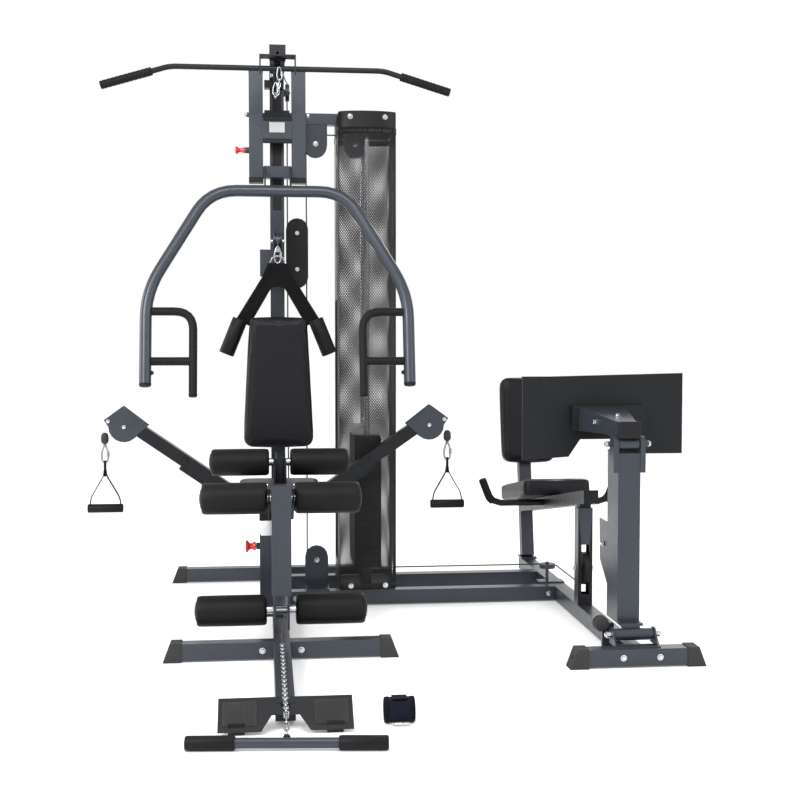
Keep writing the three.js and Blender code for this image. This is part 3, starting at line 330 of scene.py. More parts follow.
def bolt(bm, place, axis, radius):
    """A hexagon head on a washer, its seat at place and its axis pointing out."""
    lathe(bm, place, axis, [(radius * 1.35, 0), (radius * 1.35, 1.6), (radius * 0.6, 2.0)], 20)
    lathe(bm, place, axis,
          [(radius, 1.9), (radius * 1.02, 6.2), (radius * 0.86, 7.6), (radius * 0.3, 7.9)], 6)


def piece(name, bm, finish, body, replaces=(), bevel=0.0, sharp=38):
    """Makes the object, gives it its material and fastens it to its body."""
    bmesh.ops.recalc_face_normals(bm, faces=bm.faces)
    mesh = bpy.data.meshes.new(name)
    bm.to_mesh(mesh)
    bm.free()
    mesh.materials.append(LOOKS[finish])
    mesh.shade_smooth()
    mesh.set_sharp_from_angle(angle=math.radians(sharp))
    made = bpy.data.objects.new(name, mesh)
    bpy.context.scene.collection.objects.link(made)
    if bevel:
        soften(made, bevel)
    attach(made, body)
    if replaces:
        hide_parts(*replaces)
    return made


def soften(made, width):
    """Rounds the edges of a machined or pressed piece."""
    edge = made.modifiers.new("edge", "BEVEL")
    edge.width = width * MM
    edge.segments = 2
    edge.limit_method = "ANGLE"
    edge.angle_limit = math.radians(38)
    edge.use_clamp_overlap = True
    made.data.shade_smooth()
    shade = made.modifiers.new("shade", "WEIGHTED_NORMAL")
    shade.keep_sharp = True


def refined(node, finish, width=2.2, parts=()):
    """A copy of a CAD node with rounded edges, which stands for it.
    parts is a list of (finish, test) that paint the faces whose centre, in millimetres, passes the test."""
    source = frame["nodes"][node]
    bm = bmesh.new()
    bm.from_mesh(source.data)
    bmesh.ops.remove_doubles(bm, verts=bm.verts, dist=1e-6)
    bmesh.ops.dissolve_limit(bm, angle_limit=math.radians(0.6), verts=bm.verts, edges=bm.edges)
    made = piece(node + "_shell", bm, finish, source["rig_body"], (node,), width)
    if "sharp_edge" in made.data.attributes:
        made.data.attributes.remove(made.data.attributes["sharp_edge"])
    for other, test in parts:
        made.data.materials.append(LOOKS[other])
        index = len(made.data.materials) - 1
        for face in made.data.polygons:
            if test((face.center - ORIGIN) / MM):
                face.material_index = index
    return made


# ---------- frame tubes ----------
FRONT_Y = -811
LP_X = 1033
CABLE_Y = 62
TOWER_X = 319


def cross_tube(node, left, right):
    refined(node, "frame_paint", 3.2, [("rubber", lambda p: p.x < left + 4.5 or p.x > right - 4.5)])


cross_tube("front_cross_tube", -300, 300)
cross_tube("rear_cross_tube", -362, 300)
cross_tube("leg_press_cross_tube", LP_X - 152, LP_X + 152)
for node in ("main_base_beam", "foot_plate_beam", "front_link_beam", "rear_link_beam", "top_cross_beam",
             "tower_base", "press_carriage", "seat_post", "leg_developer_arm", "leg_press_base_beam"):
    refined(node, "frame_paint")
# Painted shade: the column's front face is coloured black_paint below z 1300 and between the carriage legs
# above z 1700, for the shadow that falls inside the press carriage and under the press arm.
refined("main_column", "frame_paint", 2.2,
        [("black_paint", lambda p: p.y < -27 and (p.z < 1300 or abs(p.x) < 46 and p.z > 1700))])
refined("top_boom", "frame_paint", 2.2, [("black_paint", lambda p: p.y < -302.5)])
refined("leg_press_mid_post", "frame_paint", 2.2,
        [("black_plastic", lambda p: abs(p.x - LP_X - 2) < 9 and p.z < 240)])
refined("leg_press_arm", "frame_paint", 2.6)
refined("leg_press_seat_frame", "frame_paint", 3.0,
        [("black_paint", lambda p: p.y < 516 and p.z > 300),
         ("foam", lambda p: abs(p.x - LP_X) > 150 and p.z > 344 and 100 < p.y < 200)])
refined("cable_arm_hub", "black_paint")
refined("seat_frame", "black_paint", 2.0,
        [("chrome", lambda p: p.z < 392 and abs(p.x + 41) < 24 and p.y > -446)])
for side in ("left", "right"):
    refined("cable_arm_" + side, "black_paint", 2.2,
            [("frame_paint", lambda p: abs(p.x) > 447 and abs(p.y + 128) > 19)])
refined("weight_plates_resting", "weight_plate", 1.6)
refined("weight_plates_selected", "weight_plate", 1.6)
refined("tower_top_cap", "black_plastic", 3)

# ---------- end plugs, bolts and other small fittings ----------
plugs = bmesh.new()
for x in (-98, 51):
    block(plugs, [x - 1, x + 50], [-85, -33], [1509, 1528])
    block(plugs, [x - 1, x + 50], [-85, -33], [1895, 1901])
for z in (1654, 1732):
    block(plugs, [-49.5, 51.5], [-91, -80], [z - 8, z + 8])
piece("carriage_end_plugs", plugs, "black_plastic", "press_arm", bevel=2)

label = bmesh.new()
block(label, [-27, 27], [-90.5, -87.5], [1683, 1719])
piece("carriage_blank_label", label, "label", "press_arm", bevel=0.8)

# Painted shade: a thin black sheet on the column's front between the carriage legs, standing for the shadow
# that falls there.
strip = bmesh.new()
block(strip, [-15, 15], [-27.4, -24.8], [1420, 1835])
piece("column_shade_strip", strip, "black_plastic", "frame", bevel=0.8)

PIVOT = (-59, 1748)
LEFT_OUT, RIGHT_OUT, FRONT_OUT, REAR_OUT, UP = (-1, 0, 0), (1, 0, 0), (0, -1, 0), (0, 1, 0), (0, 0, 1)


def both_sides(y, z, half, middle=0.0):
    """The two ends of a bolt across X."""
    return [((middle - half, y, z), LEFT_OUT), ((middle + half, y, z), RIGHT_OUT)]


def both_faces(x, z, half, middle=CABLE_Y):
    """The two ends of a bolt across Y."""
    return [((x, middle - half, z), FRONT_OUT), ((x, middle + half, z), REAR_OUT)]


bolts = {
    "frame": [
        *[((x, FRONT_Y, 30), FRONT_OUT) for x in (-58, 58)],
        *[((LP_X + dx, -1012, 30), FRONT_OUT) for dx in (-45, 65)],
        *[((x, -63, 30), FRONT_OUT) for x in (60, 180, 985)],
        *[((x, 288, 30), REAR_OUT) for x in (60, 985)],
        *[((x, 484, 30), REAR_OUT) for x in (-300, -60, 60)],
        *[((x, -395, 62), UP) for x in (-66, -16)],
        *[((x, -158, 396), FRONT_OUT) for x in (-120, 120)],
        *[((TOWER_X + dx, -83, z), FRONT_OUT) for dx in (-62, 62) for z in (76, 1745)],
        *both_faces(140, 1667, 17), *both_faces(285, 1667, 17), *both_faces(140, 150, 16),
        *both_sides(*PIVOT, 106), *both_sides(-262, 1844, 16), *both_sides(-78, 1305, 18),
        *both_sides(-372, 178, 27, LP_X), *both_sides(-938, 82, 78, LP_X + 4),
    ],
    "pulley_block": [*both_faces(72, 1345, 19), *both_faces(72, 1214, 19)],
    "cable_arm_right": [*both_faces(530, 658, 28, -128), ((584, -154, 678), FRONT_OUT)],
    "cable_arm_left": [*both_faces(-530, 658, 28, -128), ((-584, -154, 678), FRONT_OUT)],
    "leg_press_arm": [*both_sides(-880, 645, 63, LP_X + 1), *both_sides(-712, 318, 26, LP_X)],
    "leg_press_foot_plate": [((LP_X - 61.5, -736, 702), (-0.97, -0.245, 0)),
                             ((LP_X, -780, 723), (0, -0.13, 0.99))],
    "leg_developer": both_sides(-745, 479, 31.5),
    "seat": both_sides(-655, 505, 40),
}
SMALL_BOLTS = {"pulley_block": 5.5, "cable_arm_right": 5, "cable_arm_left": 5, "leg_developer": 7}
for body, places in bolts.items():
    bm = bmesh.new()
    for place, axis in places:
        bolt(bm, place, axis, SMALL_BOLTS.get(body, 7))
    piece(body + "_bolts", bm, "chrome", body, sharp=25)


# ---------- pulleys, guide rods and cables ----------
def wheel(node, centre, axis):
    """A moulded pulley with a round groove and a hub."""
    bm = bmesh.new()
    lathe(bm, centre, axis, [
        (5.6, -8), (12, -8), (13, -5.5), (25, -5.5), (28, -8), (37.2, -8), (38, -7), (37, -5.4), (32.4, -2.2),
        (31.4, 0), (32.4, 2.2), (37, 5.4), (38, 7), (37.2, 8), (28, 8), (25, 5.5), (13, 5.5), (12, 8),
        (5.6, 8)], 48)
    piece(node + "_wheel", bm, "black_plastic", frame["nodes"][node]["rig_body"], (node,), sharp=30)


wheel("base_pulley", (140, CABLE_Y, 150), (0, 1, 0))
wheel("tower_pulley_left", (140, CABLE_Y, 1667), (0, 1, 0))
wheel("tower_pulley_right", (285, CABLE_Y, 1667), (0, 1, 0))
wheel("lat_pulley", (0, -262, 1844), (1, 0, 0))
refined("pulley_block", "black_plastic", 1.6)

for node, y in (("guide_rod_front", CABLE_Y - 95), ("guide_rod_rear", CABLE_Y + 95)):
    bm = bmesh.new()
    lathe(bm, (TOWER_X, y, 0), (0, 0, 1), [(7.5, 65), (9.5, 67), (9.5, 1755), (7.5, 1757)], 32)
    piece(node + "_bar", bm, "chrome", "frame", (node,))


CABLE_R = 2.6
CABLE_STEP = 40           # length of cable between rings


def cable(name, points, bodies):
    """A coated steel cable swept through the points: made on the first of the two bodies, then freed from it
    and left in place.
    """
    bm = bmesh.new()
    path = [Vector(p) for p in points]
    dense = [path[0]]
    for a, b in zip(path, path[1:]):
        count = max(1, int((b - a).length / CABLE_STEP))
        dense += [a + (b - a) * (i + 1) / count for i in range(count)]
    tube(bm, dense, CABLE_R, 0, 10)
    made = piece(name, bm, "cable", bodies[0])
    made.parent = None
    del made["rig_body"]
    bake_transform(made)
    return made


PULLEY_R = 34
BLOCK_X = 72
BLOCK_HIGH = 1345
BLOCK_LOW = 1214
LEFT = BLOCK_X - PULLEY_R
RIGHT = BLOCK_X + PULLEY_R


def round_wheel(x, z, start, end, steps=14):
    return [(a, CABLE_Y, b) for a, b in arc(x, z, PULLEY_R + 0.7, start, end, steps)]


lat_arc = [(0, y, z) for y, z in arc(-262, 1844, PULLEY_R + 1, 180, 90, 10)]
rear_arc = [(LEFT, y, z) for y, z in arc(CABLE_Y - PULLEY_R, 1844, PULLEY_R + 0.7, 90, 0, 10)]
upper = cable("upper_cable_run", [
    *lat_arc, *rear_arc, *round_wheel(BLOCK_X, BLOCK_HIGH, 180, 360),
    *round_wheel(RIGHT + PULLEY_R, 1667, 180, 90), *round_wheel(TOWER_X - PULLEY_R, 1667, 90, 0)],
    ("frame", "pulley_block"))
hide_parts("upper_cable")
lower = cable("lower_cable_run", [
    (0, FRONT_Y + 30, 66), (6, FRONT_Y + 120, 70), (LEFT, -40, 90), (LEFT, CABLE_Y - 14, 96),
    (LEFT, CABLE_Y, 124),
    *round_wheel(BLOCK_X, BLOCK_LOW, 180, 0), *round_wheel(RIGHT + PULLEY_R, 150, 180, 270),
    *[(x, y, 115.3) for x, y in arc(LP_X - PULLEY_R, CABLE_Y - PULLEY_R, PULLEY_R + 0.7, 90, 0, 10)],
    (LP_X + 0.7, -300, 115.3)], ("frame", "pulley_block"))
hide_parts("lower_cable")
stack = cable("stack_cable_run", [(TOWER_X, CABLE_Y, 1667), (TOWER_X, CABLE_Y, 675)],
              ("frame", "lifted_stack"))
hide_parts("stack_cable")
cable("lat_bar_cable", [(0, -297, 1846), (0, -297, 1830), (0, -300, 1815), (0, -306, 1800)],
      ("frame", "lat_bar"))
cable("row_cable", [(0, -770, 66), (0, -850, 63)], ("frame", "low_row_bar"))
cable("harness_cable", [(0, -112, 1305), (0, -112, 1262)], ("frame", "crunch_harness"))
bm = bmesh.new()
lathe(bm, (TOWER_X, CABLE_Y, 0), (0, 0, 1), [(12, 150), (12, 612)], 28)
block(bm, [TOWER_X - 48, TOWER_X + 48], [CABLE_Y - 83, CABLE_Y + 83], [613, 646])
lathe(bm, (TOWER_X, CABLE_Y, 0), (0, 0, 1), [(16, 645), (16, 652), (9, 655), (9, 668), (6, 674)], 28)
piece("stack_head", bm, "chrome", "lifted_stack", ("selector_rod",), bevel=1.2)


# ---------- pop pins and the selector pin ----------
# a knob's profile: share of its radius, height in millimetres
KNOB = [(0.55, 0), (0.72, 1), (0.72, 7), (0.52, 11), (0.48, 17), (0.62, 22), (0.93, 26), (1.0, 29),
        (0.97, 32), (0.6, 34)]


def pop_pin(node, start, y, z, knob, radius):
    """A sprung pin along -X: a thin shaft and a waisted red knob that flares at its outer end."""
    body = frame["nodes"][node]["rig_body"]
    bm = bmesh.new()
    lathe(bm, (start, y, z), (-1, 0, 0), [(4.8, 0), (4.8, start - knob + 6)], 20)
    piece(node + "_shaft", bm, "chrome", body)
    bm = bmesh.new()
    lathe(bm, (knob, y, z), (-1, 0, 0), [(share * radius, height) for share, height in KNOB], 32)
    piece(node + "_knob", bm, "red_plastic", body, (node,), sharp=50)


pop_pin("press_pin", -88, -59, 1624, -112.5, 14)
pop_pin("seat_pin", -64, -420, 281, -79, 20)
bm = bmesh.new()
lathe(bm, (321, CABLE_Y, 470), (-1, 0, 0), [(3.5, 0), (4.8, 3), (4.8, 66)], 20)
piece("selector_pin_shaft", bm, "chrome", "selector_pin")
bm = bmesh.new()
lathe(bm, (263, CABLE_Y, 470), (-1, 0, 0),
      [(8, 0), (11, 2), (11, 7), (8, 10), (8, 13), (11, 16), (10, 20)], 28)
piece("selector_pin_knob", bm, "red_plastic", "selector_pin", ("selector_pin",), sharp=50)


# ---------- perforated shroud ----------
SHEET_THICKNESS = 1.2
HOLE_PITCH = (9, 12)      # across and up
PLAIN_EDGE = 16
OPEN_SHARE = 0.67         # how much of each diamond's cell is hole
RIM_STEPS = 60
SEAM_STEPS = 40


def shroud(node, side):
    """Half of the tower's cover: steel sheet with staggered diamond holes and plain edges."""
    half, straight, bow, low, high = 103, 120, 30, 63, 1708
    outline = [(TOWER_X + half, CABLE_Y + side * 0.3)]
    outline += [(TOWER_X + half * a, CABLE_Y + side * (straight + bow * b))
                for a, b in arc(0, 0, 1, 0, 180, 48)]
    outline += [(TOWER_X - half, CABLE_Y + side * 0.3)]
    lengths = [0]
    for a, b in zip(outline, outline[1:]):
        lengths.append(lengths[-1] + math.dist(a, b))
    total = lengths[-1]

    def on_wall(along, z):
        along = min(max(along, 0), total)
        i = max(k for k in range(len(lengths) - 1) if lengths[k] <= along + 1e-9)
        t = (along - lengths[i]) / (lengths[i + 1] - lengths[i])
        a, b = outline[i], outline[i + 1]
        return at(a[0] + (b[0] - a[0]) * t, a[1] + (b[1] - a[1]) * t, z)

    def is_open(along, z):
        """Whether the wall is cut away there: the pin's window and the cable's slots."""
        left = total - along
        return ((left < 34 and 160 < z < 1100) or (min(left, along) < 12 and z < 132)
                or (left < 12 and z > 1690))

    edge = PLAIN_EDGE
    columns = round((total - 2 * edge) / HOLE_PITCH[0])
    rows = round((high - low - 2 * edge) / HOLE_PITCH[1])
    wide = (total - 2 * edge) / columns
    tall = (high - low - 2 * edge) / rows
    bm = bmesh.new()
    corners = {}

    def corner(i, j):
        if (i, j) not in corners:
            corners[i, j] = bm.verts.new(on_wall(edge + i * wide / 2, low + edge + j * tall / 2))
        return corners[i, j]

    for j in range(1, rows * 2):
        for i in range(1 + j % 2, columns * 2, 2):
            ring = [(i + 1, j), (i, j + 1), (i - 1, j), (i, j - 1)]
            if any(a < 0 or a > columns * 2 or b < 0 or b > rows * 2 for a, b in ring):
                continue
            if is_open(edge + i * wide / 2, low + edge + j * tall / 2):
                continue
            outer = [corner(a, b) for a, b in ring]
            inner = [bm.verts.new(on_wall(edge + (i + (a - i) * OPEN_SHARE) * wide / 2,
                                          low + edge + (j + (b - j) * OPEN_SHARE) * tall / 2))
                     for a, b in ring]
            for k in range(4):
                n = (k + 1) % 4
                bm.faces.new((outer[k], outer[n], inner[n], inner[k]))
    for z0, z1 in ((low, low + edge + tall / 2), (high - edge - tall / 2, high)):
        for k in range(RIM_STEPS):
            a, b = total * k / RIM_STEPS, total * (k + 1) / RIM_STEPS
            bm.faces.new([bm.verts.new(on_wall(p, q)) for p, q in ((a, z0), (b, z0), (b, z1), (a, z1))])
    for a, b in ((0, edge + wide / 2), (total - edge - wide / 2, total)):
        for k in range(SEAM_STEPS):
            z0 = low + (high - low) * k / SEAM_STEPS
            z1 = low + (high - low) * (k + 1) / SEAM_STEPS
            if is_open((a + b) / 2, (z0 + z1) / 2):
                continue
            bm.faces.new([bm.verts.new(on_wall(p, q)) for p, q in ((a, z0), (b, z0), (b, z1), (a, z1))])
    made = piece(node + "_mesh", bm, "shroud_mesh", "frame", (node,), sharp=60)
    sheet = made.modifiers.new("sheet", "SOLIDIFY")
    sheet.thickness = SHEET_THICKNESS * MM


bm = bmesh.new()
tube(bm, [(215, CABLE_Y - 35, 158), (215, CABLE_Y + 35, 158), (215, CABLE_Y + 35, 1102),
          (215, CABLE_Y - 35, 1102)], 2.4, 0, 8, closed=True)
piece("shroud_window_rim", bm, "black_plastic", "frame")
bm = bmesh.new()
block(bm, [421, 425], [CABLE_Y - 7, CABLE_Y + 7], [134, 1707])
for z in ((1103, 1688), (134, 157)):
    block(bm, [213, 217], [CABLE_Y - 7, CABLE_Y + 7], z)
piece("shroud_seam_strips", bm, "label", "frame", bevel=0.8)
shroud("shroud_front", -1)
shroud("shroud_rear", 1)


# ---------- press arm ----------
PRESS_X = 440
PRESS_TOP = 1466
GRIP_X = 284


def on_press(x, z):
    """A point in the plane that the press arm's tube lies in."""
    return (x, -196 - (PRESS_TOP - z) * 0.21, z)


bm = bmesh.new()
tube(bm, [on_press(-PRESS_X, 812), on_press(-PRESS_X, 1117), on_press(-229, PRESS_TOP),
          on_press(229, PRESS_TOP), on_press(PRESS_X, 1117), on_press(PRESS_X, 812)], 20, 90, 32)
piece("press_arm_tube", bm, "frame_paint", "press_arm", ("press_arm",))
bm = bmesh.new()
for low, high in ((-46, -40), (42, 48)):
    prism(bm, "x", low, high, [(-190, PRESS_TOP - 7), (-200, PRESS_TOP + 12), (-88, 1564), (-80, 1530)])
block(bm, [-47, 49], [-89, -79.5], [1527, 1567])
piece("press_arm_neck", bm, "frame_paint", "press_arm", bevel=1.5)
bm = bmesh.new()
for side in (-1, 1):
    low = Vector(on_press(side * PRESS_X, 812))
    down = (Vector(on_press(side * PRESS_X, 700)) - low).normalized()
    lathe(bm, low, down, [(19, -2), (20.6, -1), (20.6, 3), (18, 9), (10, 11)], 32)
piece("press_arm_plugs", bm, "black_plastic", "press_arm")
bm = bmesh.new()
for side in (-1, 1):
    bolt(bm, on_press(side * (PRESS_X - 20), 848), (-side, 0, 0), 6)
piece("press_arm_bolts", bm, "black_paint", "press_arm", sharp=25)

for name, side in (("left", -1), ("right", 1)):
    bm = bmesh.new()
    tube(bm, [on_press(side * 420, 1052), on_press(side * GRIP_X, 1052), on_press(side * GRIP_X, 773)],
         14, 62, 24)
    tube(bm, [on_press(side * 420, 886), on_press(side * (GRIP_X + 3), 886)], 14, 0, 24)
    end = Vector(on_press(side * GRIP_X, 773))
    lathe(bm, end, (0, -0.205, -0.979), [(14.4, -4), (14.6, 1), (12, 5), (6, 6)], 24)
    piece("press_grip_" + name, bm, "foam", "press_arm", ("press_handle_" + name,))


# ---------- rollers ----------
def rollers(node, y, z, radius, inner, outer):
    """A pair of foam rollers with rounded shoulders, on a chrome axle with black end discs."""
    body = frame["nodes"][node]["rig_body"]
    bm = bmesh.new()
    for side in (-1, 1):
        length = outer - inner
        profile = [(13.5, 0), (radius - 12, 0), (radius - 5, 1.5), (radius - 1.5, 6), (radius - 0.4, 14)]
        profile += [(radius - 0.4 + 0.4 * math.sin(math.pi * k / 8), 14 + (length - 28) * k / 8)
                    for k in range(1, 8)]
        profile += [(radius - 0.4, length - 14), (radius - 1.5, length - 6), (radius - 5, length - 1.5),
                    (radius - 12, length), (13.5, length)]
        lathe(bm, (side * inner, y, z), (side, 0, 0), profile, 48)
    piece(node + "_foam", bm, "foam", body, (node,), sharp=50)
    bm = bmesh.new()
    lathe(bm, (-outer - 6, y, z), (1, 0, 0), [(12.5, 0), (12.5, 2 * outer + 12)], 28)
    piece(node + "_axle", bm, "chrome", body)
    bm = bmesh.new()
    for side in (-1, 1):
        lathe(bm, (side * (outer - 1), y, z), (side, 0, 0),
              [(30, 0), (30, 2), (27, 4.5), (16, 6), (14, 7.2), (4, 7.4)], 36)
    piece(node + "_end_discs", bm, "black_plastic", body)


rollers("thigh_rollers", -428, 558, 44, 34, 222)
rollers("knee_rollers", -745, 479, 48, 41, 238)
rollers("ankle_rollers", -722, 134, 47, 44, 256)


# ---------- upholstered pads ----------
SWELL_FORCE = 1.6
SWELL_CAP = 4             # the most that a pad's skin may move
SWELL_FRAMES = 16
BACK_BAND = 9             # how near the backing face the skin is held


def swell(made, back_axis, back_at):
    """Blows the pad up a little with cloth pressure while its backing face stays flat."""
    mesh = made.data
    rest = [v.co.copy() for v in mesh.vertices]
    held = made.vertex_groups.new(name="held")
    near = [v.index for v in mesh.vertices if abs(v.co.dot(back_axis) - back_at) < BACK_BAND * MM]
    held.add(near, 1.0, "REPLACE")
    cloth = made.modifiers.new("cloth", "CLOTH")
    cloth.settings.use_pressure = True
    cloth.settings.uniform_pressure_force = SWELL_FORCE
    cloth.settings.vertex_group_mass = "held"
    cloth.settings.effector_weights.gravity = 0
    cloth.settings.quality = 4
    scene = bpy.context.scene
    for number in range(1, SWELL_FRAMES + 1):
        scene.frame_set(number)
    swollen = made.evaluated_get(bpy.context.evaluated_depsgraph_get()).data
    moved = [v.co.copy() for v in swollen.vertices]
    made.modifiers.remove(cloth)
    for vertex, before, after in zip(mesh.vertices, rest, moved):
        step = after - before
        if step.length > SWELL_CAP * MM:
            step = step.normalized() * SWELL_CAP * MM
        vertex.co = before + step
    scene.frame_set(1)


def pad(name, node, outline, axis, low, high, back, tilt=0, about=(0, 0)):
    """A vinyl pad: an outline given thickness, with rounded edges, and blown up.
    back says which end of the thickness is the flat board, and tilt turns it about X."""
    bm = bmesh.new()
    prism(bm, axis, low, high, outline)
    turn = (Matrix.Translation(at(0, *about)) @ Matrix.Rotation(math.radians(tilt), 4, "X")
            @ Matrix.Translation(-at(0, *about)))
    bmesh.ops.transform(bm, matrix=turn, verts=bm.verts)
    made = piece(name, bm, "vinyl", frame["nodes"][node]["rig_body"], (node,), sharp=80)
    for kind, value in (("BEVEL", 11 * MM), ("REMESH", 6 * MM)):
        step = made.modifiers.new(kind.lower(), kind)
        if kind == "BEVEL":
            step.width = value
            step.segments = 4
            step.limit_method = "ANGLE"
            step.angle_limit = math.radians(50)
        else:
            step.mode = "VOXEL"
            step.voxel_size = value
            step.use_smooth_shade = True
    final = bpy.data.meshes.new_from_object(made.evaluated_get(bpy.context.evaluated_depsgraph_get()))
    made.modifiers.clear()
    made.data = final
    if not final.materials:
        final.materials.append(LOOKS["vinyl"])
    normal = turn.to_3x3() @ {"x": Vector((1, 0, 0)), "y": Vector((0, 1, 0)), "z": Vector((0, 0, 1))}[axis]
    middle = {"y": at(0, back, about[1]), "z": at(0, about[0], back)}[axis]
    back_at = (turn @ middle).dot(normal)
    swell(made, normal, back_at)
    smooth = made.modifiers.new("fine", "SUBSURF")
    smooth.levels = smooth.render_levels = 1
    return made


def rounded(width_low, width_high, low, high, corner_low, corner_high):
    """A tapered outline with rounded corners: half widths at its low and high ends."""
    return [*arc(width_low - corner_low, low + corner_low, corner_low, -90, 0, 6),
            *arc(width_high - corner_high, high - corner_high, corner_high, 0, 90, 6),
            *arc(-width_high + corner_high, high - corner_high, corner_high, 90, 180, 6),
            *arc(-width_low + corner_low, low + corner_low, corner_low, 180, 270, 6)]


INSET = 4
pad("backrest_cushion", "backrest_pad", rounded(124 - INSET, 103 - INSET, 583 + INSET, 1038 - INSET, 30, 16),
    "y", -192, -148, -148)
bm = bmesh.new()
prism(bm, "y", -147.5, -141.8, rounded(116, 96, 592, 1030, 24, 12))
piece("backrest_board", bm, "black_plastic", "frame", bevel=1)
pad("seat_cushion", "seat_pad", rounded(128, 136, -592, -204, 36, 10), "z", 434, 480, 434)
bm = bmesh.new()
prism(bm, "z", 426.6, 433.5, rounded(120, 128, -584, -210, 30, 8))
piece("seat_board", bm, "black_plastic", "seat", bevel=1)


def shifted(outline, dx):
    return [(x + dx, y) for x, y in outline]


pad("leg_press_seat_cushion", "leg_press_seat_pad", shifted(rounded(127, 127, 37, 517, 22, 20), LP_X + 8),
    "z", 443, 502, 443, tilt=-9, about=(-372, 418))
pad("leg_press_back_cushion", "leg_press_backrest", shifted(rounded(110, 110, 454, 808, 34, 34), LP_X + 8),
    "y", 465, 511, 511, tilt=-11, about=(520, 62))


# ---------- chains and snap links ----------
def chain(bm, points, corner=20, pitch=21, wire=2.5, width=15):
    """Welded oval links along a path, each turned a quarter turn from the last."""
    path = fillet(points, corner, 8)
    lengths = [0.0]
    for a, b in zip(path, path[1:]):
        lengths.append(lengths[-1] + (b - a).length)
    count = int(lengths[-1] / pitch)
    for n in range(count):
        place = (n + 0.5) * pitch
        i = max(k for k in range(len(path) - 1) if lengths[k] <= place)
        heading = (path[i + 1] - path[i]).normalized()
        middle = path[i] + heading * (place - lengths[i])
        flat = Vector((1, 0, 0))
        flat = (flat - heading * flat.dot(heading)).normalized()
        if n % 2:
            flat = heading.cross(flat)
        long, half = pitch / 2 + wire * 0.8 - width / 2 + wire, width / 2 - wire
        link = [middle + heading * (long + half * math.cos(t)) + flat * half * math.sin(t)
                for t in (math.pi * (k / 6 - 0.5) for k in range(7))]
        link += [middle - heading * (long + half * math.cos(t)) - flat * half * math.sin(t)
                 for t in (math.pi * (k / 6 - 0.5) for k in range(7))]
        sweep(bm, link, circle(wire, 8), heading.cross(flat), closed=True)


def snap_link(bm, top, bottom, width, wire):
    """A pear-shaped carabiner between two points, wider at its lower end, with a gate sleeve."""
    top, bottom, across = Vector(top), Vector(bottom), Vector((1, 0, 0))
    down = (bottom - top).normalized()
    length = (bottom - top).length
    loop = []
    for k in range(28):
        t = 2 * math.pi * k / 28
        half = width / 2 * (0.78 + 0.22 * -math.cos(t))
        loop.append(top + down * (length / 2) * (1 - math.cos(t)) + across * half * math.sin(t))
    sweep(bm, loop, circle(wire, 10), down.cross(across), closed=True)
    gate = top + down * length * 0.5 + across * width * 0.39
    lathe(bm, gate - down * length * 0.16, down, [(wire + 1.6, 0), (wire + 1.6, length * 0.32)], 14)


# ---------- pulldown bar ----------
LAT_Y, LAT_Z = -330, 1852
lat_half = [(0, 0), (352, 0), (398, -14), (572, -66)]
bm = bmesh.new()
tube(bm, [*[(-x, LAT_Y, LAT_Z + z) for x, z in reversed(lat_half)],
          *[(x, LAT_Y, LAT_Z + z) for x, z in lat_half[1:]]], 9, 60, 20)
block(bm, [-4, 4], [LAT_Y - 7, LAT_Y + 7], [LAT_Z - 30, LAT_Z - 6])
piece("pulldown_bar", bm, "black_paint", "lat_bar", ("lat_bar",))


def foam_grip(bm, start, end, radius, ribs=0):
    """A moulded grip over a bar, with rounded ends and shallow rings."""
    start, end = Vector(start), Vector(end)
    length = (end - start).length
    profile = [(radius * 0.6, -1.5), (radius - 1.5, -1), (radius, 1.5)]
    for n in range(ribs):
        place = length * (n + 0.5) / ribs
        profile += [(radius, place - 2.2), (radius - 0.9, place - 1.1), (radius - 0.9, place + 1.1),
                    (radius, place + 2.2)]
    profile += [(radius, length - 2), (radius - 2, length + 1), (radius * 0.5, length + 1.8)]
    lathe(bm, start, (end - start).normalized(), profile, 28)


for name, side in (("left", -1), ("right", 1)):
    bm = bmesh.new()
    foam_grip(bm, (side * 410, LAT_Y, LAT_Z - 17.6), (side * 574, LAT_Y, LAT_Z - 66.5), 14, 12)
    piece("pulldown_grip_" + name, bm, "foam", "lat_bar")
bm = bmesh.new()
snap_link(bm, (-6, -306, 1812), (-9, -314, 1768), 19, 2.2)
chain(bm, [(-9, -314, 1774), (-7, -324, 1757), (4, -330, 1776), (6, -334, 1818)], 14, 13, 1.7, 10)
snap_link(bm, (5, -340, 1856), (6, -338, 1812), 19, 2.2)
piece("pulldown_chain", bm, "zinc", "lat_bar")

# ---------- low row bar ----------
ROW_Y, ROW_Z, ROW_TURN = -1640, 17.6, math.radians(-5.5)


def on_row(along):
    return (along * math.cos(ROW_TURN), ROW_Y + along * math.sin(ROW_TURN), ROW_Z)


bm = bmesh.new()
tube(bm, [on_row(-232), on_row(232)], 12.5, 0, 24)
lathe(bm, (0, ROW_Y + 6, ROW_Z + 4), (0, 1, 0.3), [(6, 0), (6, 8), (9, 9), (9, 13), (3, 14)], 16)
piece("row_bar_tube", bm, "frame_paint", "low_row_bar", ("low_row_bar",))
for name, side in (("left", -1), ("right", 1)):
    bm = bmesh.new()
    foam_grip(bm, on_row(side * 122), on_row(side * 236), 17.4, 0)
    for k in range(6):
        angle = math.pi * 2 * k / 6
        lift = Vector((0, math.cos(angle), math.sin(angle))) * 16.4
        tube(bm, [Vector(on_row(side * 130)) + lift, Vector(on_row(side * 228)) + lift], 1.6, 0, 6)
    piece("row_grip_" + name, bm, "foam", "low_row_bar")
bm = bmesh.new()
chain(bm, [(0, -1630, 22), (0, -1585, 34), (0, -1535, 60), (0, -850, 62)], 30)
piece("row_chain", bm, "zinc", "low_row_bar")

